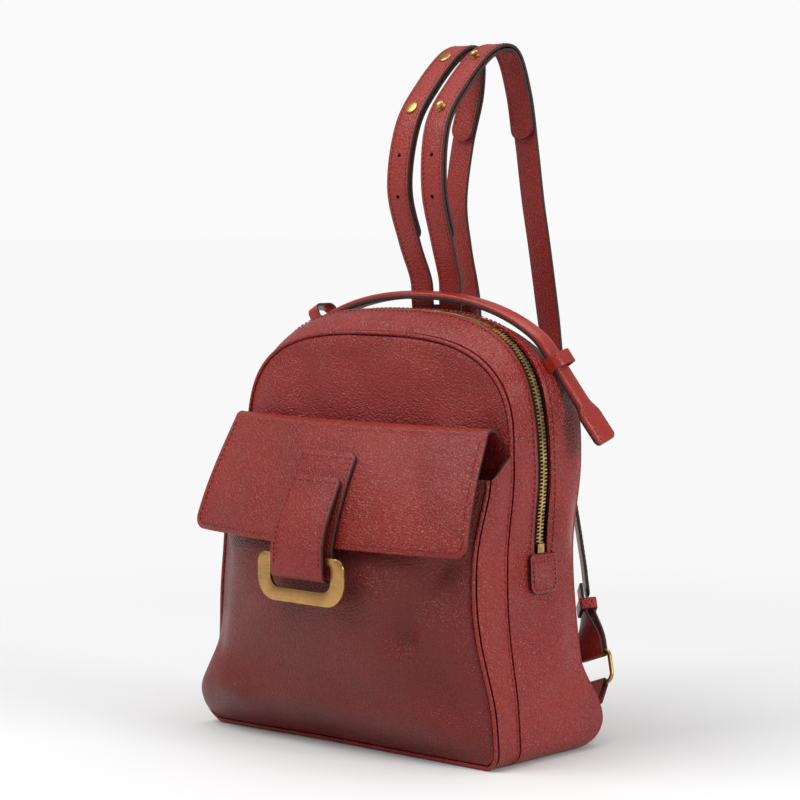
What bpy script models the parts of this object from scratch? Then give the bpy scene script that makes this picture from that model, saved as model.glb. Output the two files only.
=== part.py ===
"""Leather backpack with an arched zip top, a flap pocket, a top handle and two shoulder straps.

Metres, +Z up, the flap faces -Y.  The bag stands on z = 0 and the box of the whole bag is centred
on x = 0, y = 0.  Depths below are counted from the plane of the zip, which lies at y = ZIP_PLANE.
"""
import math

import bmesh
import bpy
import numpy as np
from mathutils import Matrix, Vector

# --- placement and fits
ZIP_PLANE = -0.0054        # where the plane of the zip lies in the finished frame
GAP = 0.0003               # clearance between pieces that touch
LEATHER = 0.0020           # wall of the body and the flap
THIN_LEATHER = 0.0016      # keepers and chapes

# --- body, seen from the front: an arch on nearly straight sides
SHOULDER_Z = 0.200
SHOULDER_HALF = 0.1240
SIDE_STATIONS = ((0.0, SHOULDER_HALF + 0.0060), (0.138, SHOULDER_HALF - 0.0065), (SHOULDER_Z, SHOULDER_HALF))
ARCH_POWER = 3.0
ZIP_TOP = 0.300
ARCH_HIGH = ZIP_TOP - SHOULDER_Z
FRONT_TOP = ZIP_TOP - 0.015
BACK_TOP = ZIP_TOP - 0.012
CORNER = 0.012

# --- body, seen from the side
FRONT_DEPTH = 0.028
BACK_STATIONS = ((0.0, 0.048), (0.020, 0.060), (0.065, 0.041), (0.220, 0.041), (BACK_TOP, 0.033))
FRONT_CROWN = 0.010
BACK_CROWN = 0.005
LINING = 0.0006
LINING_BEHIND = 0.0046     # from the outer skin of a panel to its lining

# --- zip
ZIP_END_Z = 0.138
ZIP_DRIFT = 0.007          # how far the lower end of the zip leans back
ZIP_EDGE = 0.007           # half of the slot between the leather edges
TAPE = 0.0008
TAPE_SHORT = 0.0018        # how far the tape stops inside the leather edge
CHAIN_HALF = 0.0033
CHAIN_THICK = 0.0016
PATCH_WIDE = 0.028
PATCH_HIGH = 0.026
SLIDER_Z = 0.152
SLIDER = (0.0050, 0.0092, 0.0130)
PULL = (0.0016, 0.0080, 0.0300)
SLIDER_CLEAR = 0.0029      # from the side of the body to the slider

# --- mouth: the arch in front of the zip leans forward about this line
MOUTH_Z = 0.2360
MOUTH_DEPTH = 0.0400

# --- front pocket
POCKET_TOP = 0.192
POCKET_RISE = 0.014        # how much higher the gusset of the pocket ends beside the front panel
POCKET_STATIONS = ((0.0, 0.053), (0.130, 0.060), (0.192, 0.052))
POCKET_CROWN = 0.030
CROWN_STATIONS = ((0.0, 0.0), (0.035, 0.9), (0.110, 1.0), (0.192, 0.40))
PIPING = 0.0015
PIPED_INSET = 0.0047       # how far a piped panel stops inside its seam line

# --- flap
FLAP_FOLD_Z = 0.2220
FOLD_ROLL = 0.0026         # the hanging part starts this far below the fold
FLAP_BOTTOM_Z = 0.143
FLAP_TOP_HALF = SHOULDER_HALF - 0.007
FLAP_BOTTOM_HALF = SHOULDER_HALF + 0.003
FLAP_TOP_DEPTH = 0.048
FLAP_BOTTOM_DEPTH = 0.081
FLAP_CROWN = 0.016
FLAP_SEAM_Z = 0.2135       # upper edge of the seam, hidden behind the fold
FLAP_SEAM_HIGH = 0.004
FLAP_ARCH = 0.0060         # how far the fold stands above a straight line from seam to edge

# --- closure strap and ring
TAB_PLAY = 0.003            # beside the strap inside the ring
TAB_TOP_Z = 0.205
TAB_FRONT_TOP_Z = 0.190
TAB_FOLD_Z = 0.1255
TAB_FOLD_RADIUS = 0.0042
TAB_THICK = 0.0020
RING_WIDE = 0.080
RING_HIGH = 0.033
RING_BAR = 0.0045
RING_SIDE = 0.0120
TAB_HALF = RING_WIDE / 2.0 - RING_SIDE - TAB_PLAY
RING_FOOT = 0.0095
RING_THICK = 0.0025
RING_RISE = 0.0095            # bar of the ring above the middle of the fold
SNAP_RADIUS = 0.007
SNAP_THICK = 0.0020
SNAP_Z = 0.158

# --- handle
HANDLE_DEPTH = 0.022
HANDLE_TOP = ZIP_TOP + 0.0085
HANDLE_POWER = 2.25
HANDLE_END = (0.785 * SHOULDER_HALF + 0.00986, HANDLE_DEPTH, ZIP_TOP - 0.198 * ARCH_HIGH)
HANDLE_NECK = (SHOULDER_HALF + 0.0056, 0.0300, ZIP_TOP - 0.553 * ARCH_HIGH)
HANDLE_TIP = (SHOULDER_HALF + 0.0240, 0.0400, ZIP_TOP - 0.870 * ARCH_HIGH)
HANDLE_WIDTH = 0.014
PADDLE_WIDTH = 0.022
HANDLE_THICK = 0.005
KEEPER_WIDTH = 0.010
KEEPER_PLAY = 0.0055
KEEPER_SIDE_PLAY = 0.0019
KEEPER_AT = 0.42           # share of the way from handle end to neck
LEFT_KEEPER_X = HANDLE_END[0] - 0.012
LEFT_KEEPER_RISE = 0.002
LEFT_KEEPER_SLACK = 0.0006     # room under the curved part of the handle

# --- shoulder straps, the right one, at depths counted from the zip plane
STRAP_ROUTE = ((0.0130, 0.0365, 0.3040), (0.0135, 0.0352, 0.3200), (0.0152, 0.0250, 0.3460),
               (0.0160, 0.0140, 0.3830), (0.0140, 0.0200, 0.4260), (0.0140, 0.0415, 0.4550),
               (0.0145, 0.0700, 0.4790), (0.0165, 0.0915, 0.4800), (0.0220, 0.0985, 0.4520),
               (0.0300, 0.0965, 0.4150), (0.0360, 0.0965, 0.3740), (0.0370, 0.1030, 0.3400),
               (0.0365, 0.1130, 0.2950), (0.0420, 0.1160, 0.2450), (0.0580, 0.1110, 0.1800),
               (0.0780, 0.1000, 0.1250), (0.0850, 0.0955, 0.1060))
ROUTE_TOP = 0.300          # top of the zip that the route is drawn for; it rises with the real one
ROUTE_LOW = 0.125          # the route stays where it is below this height
STRAP_WIDTH = 0.020
STRAP_THICK = 0.0022
STRAP_STEP = STRAP_THICK / 2.0 + 2.0 * GAP   # each of the two layers lies this far from the middle of the pair
SHORT_LAYER = (0.07, 0.475)# where the short layer starts and ends along the route
STUDS_AT = (0.228, 0.31)
STUD_RADIUS = 0.0032
STUD_HIGH = 0.0035
RIVET_RADIUS = 0.0048
RIVET_HIGH = 0.0012
YOKE_HALF = 0.030
YOKE_HIGH = 0.032

# --- lower rings
TAIL_TOP = (0.0862, 0.0948, 0.1025)
TAIL_LOW = (0.1040, 0.0830, 0.0580)
LOOP_WIDE = 0.0265
LOOP_HIGH = 0.0220
LOOP_WIRE = 0.0015
CHAPE_FOOT = (0.1085, 0.0640, 0.0250)
CHAPE_WIDTH = 0.014
BACK_STUD = (SHOULDER_HALF - 0.011, 0.214)
BACK_STUD_RADIUS = 0.0055
BACK_STUD_HIGH = 0.0045

COLLECTION = "Leather backpack"
INSIDE = Vector((0.0, ZIP_PLANE, 0.140))


# ----------------------------------------------------------------- scene and materials
def clear_scene():
    """Remove every object the file opened with."""
    for obj in list(bpy.data.objects):
        bpy.data.objects.remove(obj, do_unlink=True)


def finish(name, colour, roughness, metallic=0.0):
    """A plain surface finish."""
    material = bpy.data.materials.new(name)
    material.use_nodes = True
    shader = material.node_tree.nodes["Principled BSDF"]
    shader.inputs["Base Color"].default_value = (*colour, 1.0)
    shader.inputs["Roughness"].default_value = roughness
    shader.inputs["Metallic"].default_value = metallic
    return material


def make_finishes():
    """Every finish of the bag by its short name."""
    return {
        "leather": finish("red grained leather", (0.205, 0.026, 0.022), 0.42),
        "strap": finish("red strap leather", (0.185, 0.024, 0.022), 0.45),
        "brass": finish("brushed brass", (0.61, 0.40, 0.15), 0.30, 1.0),
        "tape": finish("black zip tape", (0.012, 0.010, 0.010), 0.85),
        "lining": finish("cotton lining", (0.20, 0.15, 0.11), 0.90),
        "board": finish("fibre board", (0.30, 0.24, 0.17), 0.80),
        "steel": finish("plated snap steel", (0.55, 0.50, 0.42), 0.30, 1.0),
    }


def collect(obj, material):
    """Give an object its finish and put it in the bag's collection."""
    obj.data.materials.append(material)
    for owner in list(obj.users_collection):
        owner.objects.unlink(obj)
    bpy.data.collections[COLLECTION].objects.link(obj)
    return obj


# ----------------------------------------------------------------- curves of the body
def blend_stations(value, stations):
    """Read a list of (position, size) stations, eased from each one to the next."""
    spots = np.array([spot for spot, _ in stations])
    sizes = np.array([size for _, size in stations])
    value = np.clip(value, spots[0], spots[-1])
    left = np.clip(np.searchsorted(spots, value, side="right") - 1, 0, len(spots) - 2)
    share = (value - spots[left]) / (spots[left + 1] - spots[left])
    share = share * share * (3.0 - 2.0 * share)
    return sizes[left] + (sizes[left + 1] - sizes[left]) * share


def resample(points, count):
    """Points at equal steps along a polyline."""
    steps = np.linalg.norm(np.diff(points, axis=0), axis=1)
    along = np.concatenate([[0.0], np.cumsum(steps)])
    wanted = np.linspace(0.0, along[-1], count)
    return np.stack([np.interp(wanted, along, points[:, axis]) for axis in range(points.shape[1])], 1)


def half_width(z, top=ZIP_TOP):
    """Half the width of the body at a height, for an arch that peaks at top."""
    rise = np.clip((z - SHOULDER_Z) / (top - SHOULDER_Z), 0.0, 1.0)
    arch = SHOULDER_HALF * (1.0 - rise ** ARCH_POWER) ** (1.0 / ARCH_POWER)
    return np.where(z <= SHOULDER_Z, blend_stations(z, SIDE_STATIONS), arch)


def arch_line(top, low, depth, count):
    """An arch from low on the left over to low on the right; depth is a function of z."""
    turn = np.linspace(0.0, math.pi / 2.0, 160)
    x = SHOULDER_HALF * np.cos(turn) ** (2.0 / ARCH_POWER)
    z = SHOULDER_Z + (top - SHOULDER_Z) * np.sin(turn) ** (2.0 / ARCH_POWER)
    if low < SHOULDER_Z:
        side_z = np.linspace(low, SHOULDER_Z, 24, endpoint=False)
        x = np.concatenate([half_width(side_z), x])
        z = np.concatenate([side_z, z])
    else:
        keep = z > low
        x = np.concatenate([[half_width(low, top)], x[keep]])
        z = np.concatenate([[low], z[keep]])
    x[-1] = 0.0
    flat = np.stack([np.concatenate([-x, x[-2::-1]]), np.concatenate([z, z[-2::-1]])], 1)
    flat = resample(flat, count)
    return np.stack([flat[:, 0], ZIP_PLANE + depth(flat[:, 1]), flat[:, 1]], 1)


def cup_line(high, depth, count, inset=0.0):
    """A U from high on the left, under the bag and up to high on the right."""
    side_z = np.linspace(high, CORNER, 30)
    turn = np.linspace(0.0, math.pi / 2.0, 8)[1:]
    low_half = float(half_width(CORNER))
    x = np.concatenate([half_width(side_z), low_half - CORNER * (1.0 - np.cos(turn))])
    z = np.concatenate([side_z, CORNER * (1.0 - np.sin(turn))])
    x, z = x - inset, np.maximum(z, inset)
    flat = np.stack([np.concatenate([-x, x[::-1]]), np.concatenate([z, z[::-1]])], 1)
    flat = resample(flat, count)
    return np.stack([flat[:, 0], ZIP_PLANE + depth(flat[:, 1]), flat[:, 1]], 1)


def side_line(side, low, high, depth, count):
    """A line up one side; side is -1 for the left and 1 for the right."""
    z = np.linspace(low, high, count)
    return np.stack([side * half_width(z), ZIP_PLANE + depth(z), z], 1)


def front_depth(z):
    """Seam between the front panel and the gusset."""
    return np.full_like(z, -FRONT_DEPTH)


def back_depth(z):
    """Seam between the back panel and the gusset."""
    return blend_stations(z, BACK_STATIONS)


def pocket_depth(z):
    """Seam between the pocket face and its gusset."""
    return -blend_stations(z, POCKET_STATIONS)


def wall_depth(depth, z):
    """Depth that a leather wall takes up along Y where its seam line leans."""
    step = 0.0005
    slope = (depth(z + step) - depth(z - step)) / (2.0 * step)
    return LEATHER * np.sqrt(1.0 + slope ** 2)


def zip_lean(z):
    """The middle of the zip, which leans back towards its lower ends."""
    return ZIP_DRIFT * np.clip((MOUTH_Z - z) / (MOUTH_Z - ZIP_END_Z), 0.0, 1.0)


def shifted(depth, offset):
    """A depth function moved by an offset."""
    return lambda z: depth(z) + offset


def band(first, last, rows, bulge=0.0):
    """Grid between two edge lines, arched outwards from the middle of the bag."""
    share = np.linspace(0.0, 1.0, rows)[:, None, None]
    grid = first[None] * (1.0 - share) + last[None] * share
    out = grid - np.array(INSIDE)
    out[:, :, 1] = 0.0
    out /= np.linalg.norm(out, axis=2, keepdims=True)
    return grid + out * bulge * 4.0 * share * (1.0 - share)


# ----------------------------------------------------------------- solids
def place(name, mesh, material):
    """Make an object of a mesh."""
    obj = bpy.data.objects.new(name, mesh)
    return collect(obj, material)


def sheet(name, grid, thickness, material, inside=INSIDE):
    """A sheet whose outer skin is the grid, as thick as given towards the inside point."""
    rows, columns = grid.shape[:2]
    index = np.arange(rows * columns).reshape(rows, columns)
    corners = [index[:-1, :-1], index[:-1, 1:], index[1:, 1:], index[1:, :-1]]
    faces = np.stack([corner.ravel() for corner in corners], 1)
    points = grid.reshape(-1, 3)
    middle = points[faces].mean(axis=1)
    normal = np.cross(points[faces[:, 1]] - points[faces[:, 0]], points[faces[:, 3]] - points[faces[:, 0]])
    if ((middle - np.array(inside)) * normal).sum() < 0.0:
        faces = faces[:, ::-1]
    mesh = bpy.data.meshes.new(name)
    mesh.from_pydata(points.tolist(), [], faces.tolist())
    mesh.shade_smooth()
    obj = place(name, mesh, material)
    wall = obj.modifiers.new("wall", "SOLIDIFY")
    wall.thickness = thickness
    wall.offset = -1.0
    wall.use_even_offset = True
    return obj


def tube(name, points, radius, material, closed=False):
    """A round cord or wire along the points."""
    curve = bpy.data.curves.new(name, "CURVE")
    curve.dimensions = "3D"
    curve.bevel_depth = radius
    curve.bevel_resolution = 2
    curve.use_fill_caps = not closed
    spline = curve.splines.new("POLY")
    spline.points.add(len(points) - 1)
    for target, point in zip(spline.points, points):
        target.co = (*point, 1.0)
    spline.use_cyclic_u = closed
    obj = bpy.data.objects.new(name, curve)
    return collect(obj, material)


def ribbon(name, path, across, width, thickness, material, closed=False):
    """A flat strap: the path runs along its middle, across says which way it is wide."""
    path = np.asarray(path)
    width = np.broadcast_to(np.asarray(width, dtype=float), (len(path),))[:, None]
    if closed:
        tangent = np.roll(path, -1, 0) - np.roll(path, 1, 0)
    else:
        tangent = np.gradient(path, axis=0)
    tangent /= np.linalg.norm(tangent, axis=1, keepdims=True)
    wide = across - (across * tangent).sum(1, keepdims=True) * tangent
    wide /= np.linalg.norm(wide, axis=1, keepdims=True)
    face = np.cross(tangent, wide)
    half, deep = wide * width / 2.0, face * thickness / 2.0
    corners = np.stack([path - half - deep, path + half - deep, path + half + deep, path - half + deep], 1)
    count = len(path)
    index = np.arange(count * 4).reshape(count, 4)
    follow = np.roll(index, -1, 0) if closed else index[1:]
    start = index if closed else index[:-1]
    faces = [(start[:, k], start[:, (k + 1) % 4], follow[:, (k + 1) % 4], follow[:, k]) for k in range(4)]
    faces = np.concatenate([np.stack(face_set, 1) for face_set in faces]).tolist()
    if not closed:
        faces += [index[0, ::-1].tolist(), index[-1].tolist()]
    mesh = bpy.data.meshes.new(name)
    mesh.from_pydata(corners.reshape(-1, 3).tolist(), [], faces)
    shape = bmesh.new()
    shape.from_mesh(mesh)
    bmesh.ops.recalc_face_normals(shape, faces=shape.faces)
    shape.to_mesh(mesh)
    shape.free()
    return place(name, mesh, material)


def disc(name, radius, height, foot, axis, material, sides=24):
    """A short cylinder that stands on foot along axis."""
    shape = bmesh.new()
    bmesh.ops.create_cone(shape, cap_ends=True, segments=sides, radius1=radius, radius2=radius, depth=height)
    turn = Vector((0.0, 0.0, 1.0)).rotation_difference(Vector(axis).normalized()).to_matrix().to_4x4()
    lift = Matrix.Translation((0.0, 0.0, height / 2.0))
    bmesh.ops.transform(shape, matrix=Matrix.Translation(foot) @ turn @ lift, verts=shape.verts)
    mesh = bpy.data.meshes.new(name)
    shape.to_mesh(mesh)
    shape.free()
    mesh.shade_smooth()
    mesh.set_sharp_from_angle(angle=math.radians(40.0))
    return place(name, mesh, material)


def block(name, size, centre, material, bevel=0.0):
    """A box, with softened edges if bevel is given."""
    shape = bmesh.new()
    bmesh.ops.create_cube(shape, size=1.0)
    bmesh.ops.scale(shape, vec=size, verts=shape.verts)
    bmesh.ops.translate(shape, vec=centre, verts=shape.verts)
    mesh = bpy.data.meshes.new(name)
    shape.to_mesh(mesh)
    shape.free()
    obj = place(name, mesh, material)
    if bevel:
        edge = obj.modifiers.new("edge", "BEVEL")
        edge.width = bevel
        edge.segments = 2
    return obj


def rounded_outline(width, height, low_corner, high_corner, steps=6):
    """Outline of a rectangle about its own centre, with its own radius at the bottom and the top."""
    centres = ((1, -1, low_corner), (1, 1, high_corner), (-1, 1, high_corner), (-1, -1, low_corner))
    points = []
    for number, (right, up, radius) in enumerate(centres):
        for step in range(steps + 1):
            turn = math.pi / 2.0 * (number - 1 + step / steps)
            x = right * (width / 2.0 - radius) + radius * math.cos(turn)
            z = up * (height / 2.0 - radius) + radius * math.sin(turn)
            points.append((x, z))
    return points


def flat_ring(name, outlines, thickness, centre, material):
    """A flat plate in the XZ plane: the first outline is its rim, the others are holes."""
    curve = bpy.data.curves.new(name, "CURVE")
    curve.dimensions = "2D"
    curve.fill_mode = "BOTH"
    curve.extrude = thickness / 2.0
    for outline in outlines:
        spline = curve.splines.new("POLY")
        spline.points.add(len(outline) - 1)
        for target, (x, z) in zip(spline.points, outline):
            target.co = (x, z, 0.0, 1.0)
        spline.use_cyclic_u = True
    obj = bpy.data.objects.new(name, curve)
    obj.location = centre
    obj.rotation_euler = (math.pi / 2.0, 0.0, 0.0)
    return collect(obj, material)


def hang_on(name, place_of_axis, pieces):
    """Parent the pieces of one moving body to an empty on its joint's axis."""
    empty = bpy.data.objects.new(name, None)
    empty.location = place_of_axis
    bpy.data.collections[COLLECTION].objects.link(empty)
    bpy.context.view_layer.update()
    for piece in pieces:
        piece.parent = empty
        piece.matrix_parent_inverse = empty.matrix_world.inverted()


# ----------------------------------------------------------------- body
def corner_cut(z, inset):
    """How much a panel narrows at a height because of the round lower corners."""
    radius = CORNER - inset
    drop = np.clip(CORNER - z, 0.0, radius)
    return radius - np.sqrt(radius ** 2 - drop ** 2)


def panel_grid(low, high, rows, columns, top, inset, surface):
    """Grid of a panel between two heights; surface gives y from the share across and z."""
    share = (1.0 - np.cos(np.linspace(0.0, math.pi, rows))) / 2.0
    z = low + (high - low) * share
    across = np.sin(np.linspace(-math.pi / 2.0, math.pi / 2.0, columns))
    half = half_width(z, top - inset) - inset - corner_cut(z, inset)
    x = across[None, :] * half[:, None]
    height = np.broadcast_to(z[:, None], x.shape)
    return np.stack([x, surface(np.broadcast_to(across, x.shape), height), height], 2)


def front_surface(across, z):
    """Outer skin of the front panel."""
    rise = np.sqrt(np.clip(np.sin(math.pi * z / FRONT_TOP), 0.0, 1.0))
    crown = FRONT_CROWN * (1.0 - np.abs(across) ** 2.5) * rise
    return ZIP_PLANE - FRONT_DEPTH - LEATHER - GAP - crown


def back_surface(across, z):
    """Outer skin of the back panel."""
    rise = np.sqrt(np.clip(np.sin(math.pi * z / BACK_TOP), 0.0, 1.0))
    crown = BACK_CROWN * (1.0 - across ** 2) * rise
    return ZIP_PLANE + back_depth(z) + wall_depth(back_depth, z) + 2.0 * GAP + crown


def pocket_surface(across, z):
    """Outer skin of the pocket face."""
    crown = POCKET_CROWN * (1.0 - np.abs(across) ** 3) * blend_stations(z, CROWN_STATIONS)
    return ZIP_PLANE + pocket_depth(z) - wall_depth(pocket_depth, z) - GAP - crown


def make_body(kit):
    """Panels, gussets, linings and the bottom board; returns what leans with the mouth."""
    leather = kit["leather"]
    gap2 = GAP / 2.0
    lower = panel_grid(CORNER * 0.45, MOUTH_Z - gap2, 12, 15, FRONT_TOP, PIPED_INSET, front_surface)
    upper = panel_grid(MOUTH_Z + gap2, FRONT_TOP - PIPED_INSET - GAP, 9, 15, FRONT_TOP, PIPED_INSET,
                       front_surface)
    back = panel_grid(0.004, BACK_TOP - 0.0014, 24, 13, BACK_TOP, 0.001, back_surface)
    sheet("front_panel_lower", lower, LEATHER, leather)
    front_upper = sheet("front_panel_upper", upper, LEATHER, leather)
    sheet("back_panel", back, LEATHER, leather)

    front_rim = shifted(front_depth, GAP)
    back_rim = shifted(back_depth, -GAP)
    before_zip = shifted(zip_lean, -ZIP_EDGE)
    behind_zip = shifted(zip_lean, ZIP_EDGE)
    strip = band(arch_line(FRONT_TOP, MOUTH_Z + gap2, front_rim, 41),
                 arch_line(ZIP_TOP - 0.0005, MOUTH_Z + gap2, before_zip, 41), 4, 0.0015)
    strip_upper = sheet("gusset_front_upper", strip, LEATHER, leather)
    for side, word in ((-1.0, "left"), (1.0, "right")):
        grid = band(side_line(side, ZIP_END_Z, MOUTH_Z - gap2, front_rim, 10),
                    side_line(side, ZIP_END_Z, MOUTH_Z - gap2, before_zip, 10), 4, 0.0015)
        sheet("gusset_front_" + word, grid, LEATHER, leather)
    strip = band(arch_line(ZIP_TOP - 0.0005, ZIP_END_Z, behind_zip, 61),
                 arch_line(BACK_TOP, ZIP_END_Z, back_rim, 61), 5, 0.0015)
    sheet("gusset_back", strip, LEATHER, leather)
    low = band(cup_line(ZIP_END_Z - GAP, front_rim, 81), cup_line(ZIP_END_Z - GAP, back_rim, 81), 5)
    sheet("gusset_lower", low, LEATHER, leather)

    lining = panel_grid(0.012, MOUTH_Z - gap2, 10, 9, FRONT_TOP, 0.010,
                        lambda across, z: front_surface(across, z) + LINING_BEHIND)
    sheet("lining_front", lining, LINING, kit["lining"])
    lining = panel_grid(0.012, BACK_TOP - 0.020, 18, 9, BACK_TOP, 0.010,
                        lambda across, z: back_surface(across, z) - LINING_BEHIND)
    sheet("lining_back", lining, LINING, kit["lining"])
    board = (2.0 * SHOULDER_HALF - 0.022, 0.062, 0.0020)
    block("base_board", board, (0.0, ZIP_PLANE + 0.0075, LEATHER + 0.0012 + board[2] / 2.0), kit["board"])
    return [front_upper, strip_upper]


def make_piping(kit):
    """Cords in the two piped seams; returns the stretch that leans with the mouth."""
    leather = kit["leather"]
    proud = PIPING + 0.0001
    seat = shifted(front_depth, -PIPING - 0.0002)
    arch = arch_line(FRONT_TOP - 0.0008, MOUTH_Z + GAP, seat, 49)
    upper = tube("piping_front_upper", arch, PIPING, leather)
    tube("piping_front_lower", cup_line(MOUTH_Z - GAP, seat, 61, proud), PIPING, leather)
    pocket_seat = shifted(pocket_depth, -PIPING - 0.0002)
    tube("piping_pocket", cup_line(POCKET_TOP, pocket_seat, 61, proud), PIPING, leather)
    return [upper]


def make_pocket(kit):
    """The front pocket: a gusset and a full face."""
    leather = kit["leather"]
    root = shifted(front_depth, -2.0 * PIPING - 0.0008)
    grid = band(cup_line(POCKET_TOP, shifted(pocket_depth, GAP), 61),
                cup_line(POCKET_TOP + POCKET_RISE, root, 61), 3)
    sheet("pocket_gusset", grid, LEATHER, leather)
    face = panel_grid(CORNER * 0.45, POCKET_TOP, 14, 17, ZIP_TOP, PIPED_INSET, pocket_surface)
    sheet("pocket_face", face, LEATHER, leather)
    slope = pocket_surface(0.0, SNAP_Z + SNAP_RADIUS) - pocket_surface(0.0, SNAP_Z - SNAP_RADIUS)
    tilt = float(slope) / (2.0 * SNAP_RADIUS)
    axis = Vector((0.0, -1.0, tilt)).normalized()
    foot = Vector((0.0, float(pocket_surface(0.0, SNAP_Z)), SNAP_Z)) + axis * 2.0 * GAP
    disc("snap_socket", SNAP_RADIUS, SNAP_THICK, foot, axis, kit["steel"])
    return foot + axis * (SNAP_THICK + GAP), axis


# ----------------------------------------------------------------- zip
def make_zip(kit):
    """Tapes, tooth chains, end patches, bottom stop, slider and pull."""
    gap2 = GAP / 2.0
    tape_edge = ZIP_EDGE - TAPE_SHORT
    tape_top = ZIP_TOP - 0.0024
    chain_top = tape_top + CHAIN_THICK + GAP
    leaning = []
    for word, sign in (("front", -1.0), ("back", 1.0)):
        outer = shifted(zip_lean, sign * tape_edge)
        inner = shifted(zip_lean, sign * gap2)
        grid = band(arch_line(tape_top, MOUTH_Z + gap2, outer, 41),
                    arch_line(tape_top, MOUTH_Z + gap2, inner, 41), 2)
        grid[:, :, 0] *= 1.0 - 0.0024 / SHOULDER_HALF
        tape = sheet("zip_tape_" + word, grid, TAPE, kit["tape"])
        outer = shifted(zip_lean, sign * CHAIN_HALF)
        grid = band(arch_line(chain_top, MOUTH_Z + gap2, outer, 49),
                    arch_line(chain_top, MOUTH_Z + gap2, inner, 49), 2)
        chain = sheet("zip_chain_" + word, grid, CHAIN_THICK, kit["brass"])
        if word == "front":
            leaning = [tape, chain]
    for side, word in ((-1.0, "left"), (1.0, "right")):
        recess = np.array([side * 0.0024, 0.0, 0.0])
        grid = band(side_line(side, ZIP_END_Z, MOUTH_Z - gap2, shifted(zip_lean, -tape_edge), 10) - recess,
                    side_line(side, ZIP_END_Z, MOUTH_Z - gap2, shifted(zip_lean, tape_edge), 10) - recess, 2)
        sheet("zip_tape_" + word, grid, TAPE, kit["tape"])
        recess = np.array([side * (0.0024 - CHAIN_THICK - GAP), 0.0, 0.0])
        start = ZIP_END_Z + 0.007
        grid = band(side_line(side, start, MOUTH_Z - gap2, shifted(zip_lean, -CHAIN_HALF), 10) - recess,
                    side_line(side, start, MOUTH_Z - gap2, shifted(zip_lean, CHAIN_HALF), 10) - recess, 2)
        sheet("zip_chain_" + word, grid, CHAIN_THICK, kit["brass"])
        make_patch(word, side, kit)
    stop_z = ZIP_END_Z + 0.0033
    stop = (float(half_width(stop_z)) - 0.0006, ZIP_PLANE + float(zip_lean(stop_z)), stop_z)
    block("zip_bottom_stop", (0.0020, 0.0068, 0.0060), stop, kit["brass"])
    return leaning


def make_patch(word, side, kit):
    """Leather patch over one lower end of the zip."""
    high = ZIP_END_Z - 0.0005
    low = high - PATCH_HIGH
    middle = ZIP_DRIFT
    first = side_line(side, low, high, lambda z: np.full_like(z, middle - PATCH_WIDE / 2.0), 6)
    last = side_line(side, low, high, lambda z: np.full_like(z, middle + PATCH_WIDE / 2.0), 6)
    out = np.array([side * (THIN_LEATHER + 2.0 * GAP), 0.0, 0.0])
    sheet("zip_patch_" + word, band(first + out, last + out, 3), THIN_LEATHER, kit["leather"])


def slider_ends():
    """Where the slider rests on the left run, and where that run ends."""
    spots = []
    for z in (SLIDER_Z, MOUTH_Z - 0.010):
        x = -float(half_width(z)) - SLIDER[0] / 2.0 - SLIDER_CLEAR
        spots.append(Vector((x, ZIP_PLANE + float(zip_lean(z)), z)))
    return spots


def make_slider(kit):
    """Slider body at the lower end of the left run, and its pull."""
    rest, _ = slider_ends()
    slider = block("zip_slider", SLIDER, rest, kit["brass"], 0.0012)
    hinge = rest + Vector((-SLIDER[0] / 2.0 - PULL[0] / 2.0 - GAP, 0.0, 0.0035))
    pull = block("zip_pull", PULL, hinge - Vector((0.0, 0.0, PULL[2] / 2.0)), kit["brass"])
    hang_on("slider_axis", rest, [slider])
    hang_on("pull_axis", hinge, [pull])


# ----------------------------------------------------------------- flap and closure
def flap_surface(across, z):
    """Outer skin of the flap: it leaves the fold at a slant and hangs straighter towards the hem."""
    share = np.clip((FLAP_FOLD_Z - z) / (FLAP_FOLD_Z - FLAP_BOTTOM_Z), 0.0, 1.0)
    depth = FLAP_TOP_DEPTH + (FLAP_BOTTOM_DEPTH - FLAP_TOP_DEPTH) * (share + np.sin(share * math.pi / 2.0)) / 2.0
    return ZIP_PLANE - depth - FLAP_CROWN * (1.0 - np.abs(across) ** 2.2)


def flap_grid(low, high, rows):
    """Hanging part of the flap between two heights, its lower corners rounded."""
    z = np.linspace(low, high, rows)
    half = FLAP_TOP_HALF + (FLAP_BOTTOM_HALF - FLAP_TOP_HALF) * (FLAP_FOLD_Z - z) / (FLAP_FOLD_Z - FLAP_BOTTOM_Z)
    across = np.sin(np.linspace(-math.pi / 2.0, math.pi / 2.0, 17))
    x = across[None, :] * half[:, None]
    height = np.broadcast_to(z[:, None], x.shape)
    return np.stack([x, flap_surface(np.broadcast_to(across, x.shape), height), height], 2)


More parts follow.
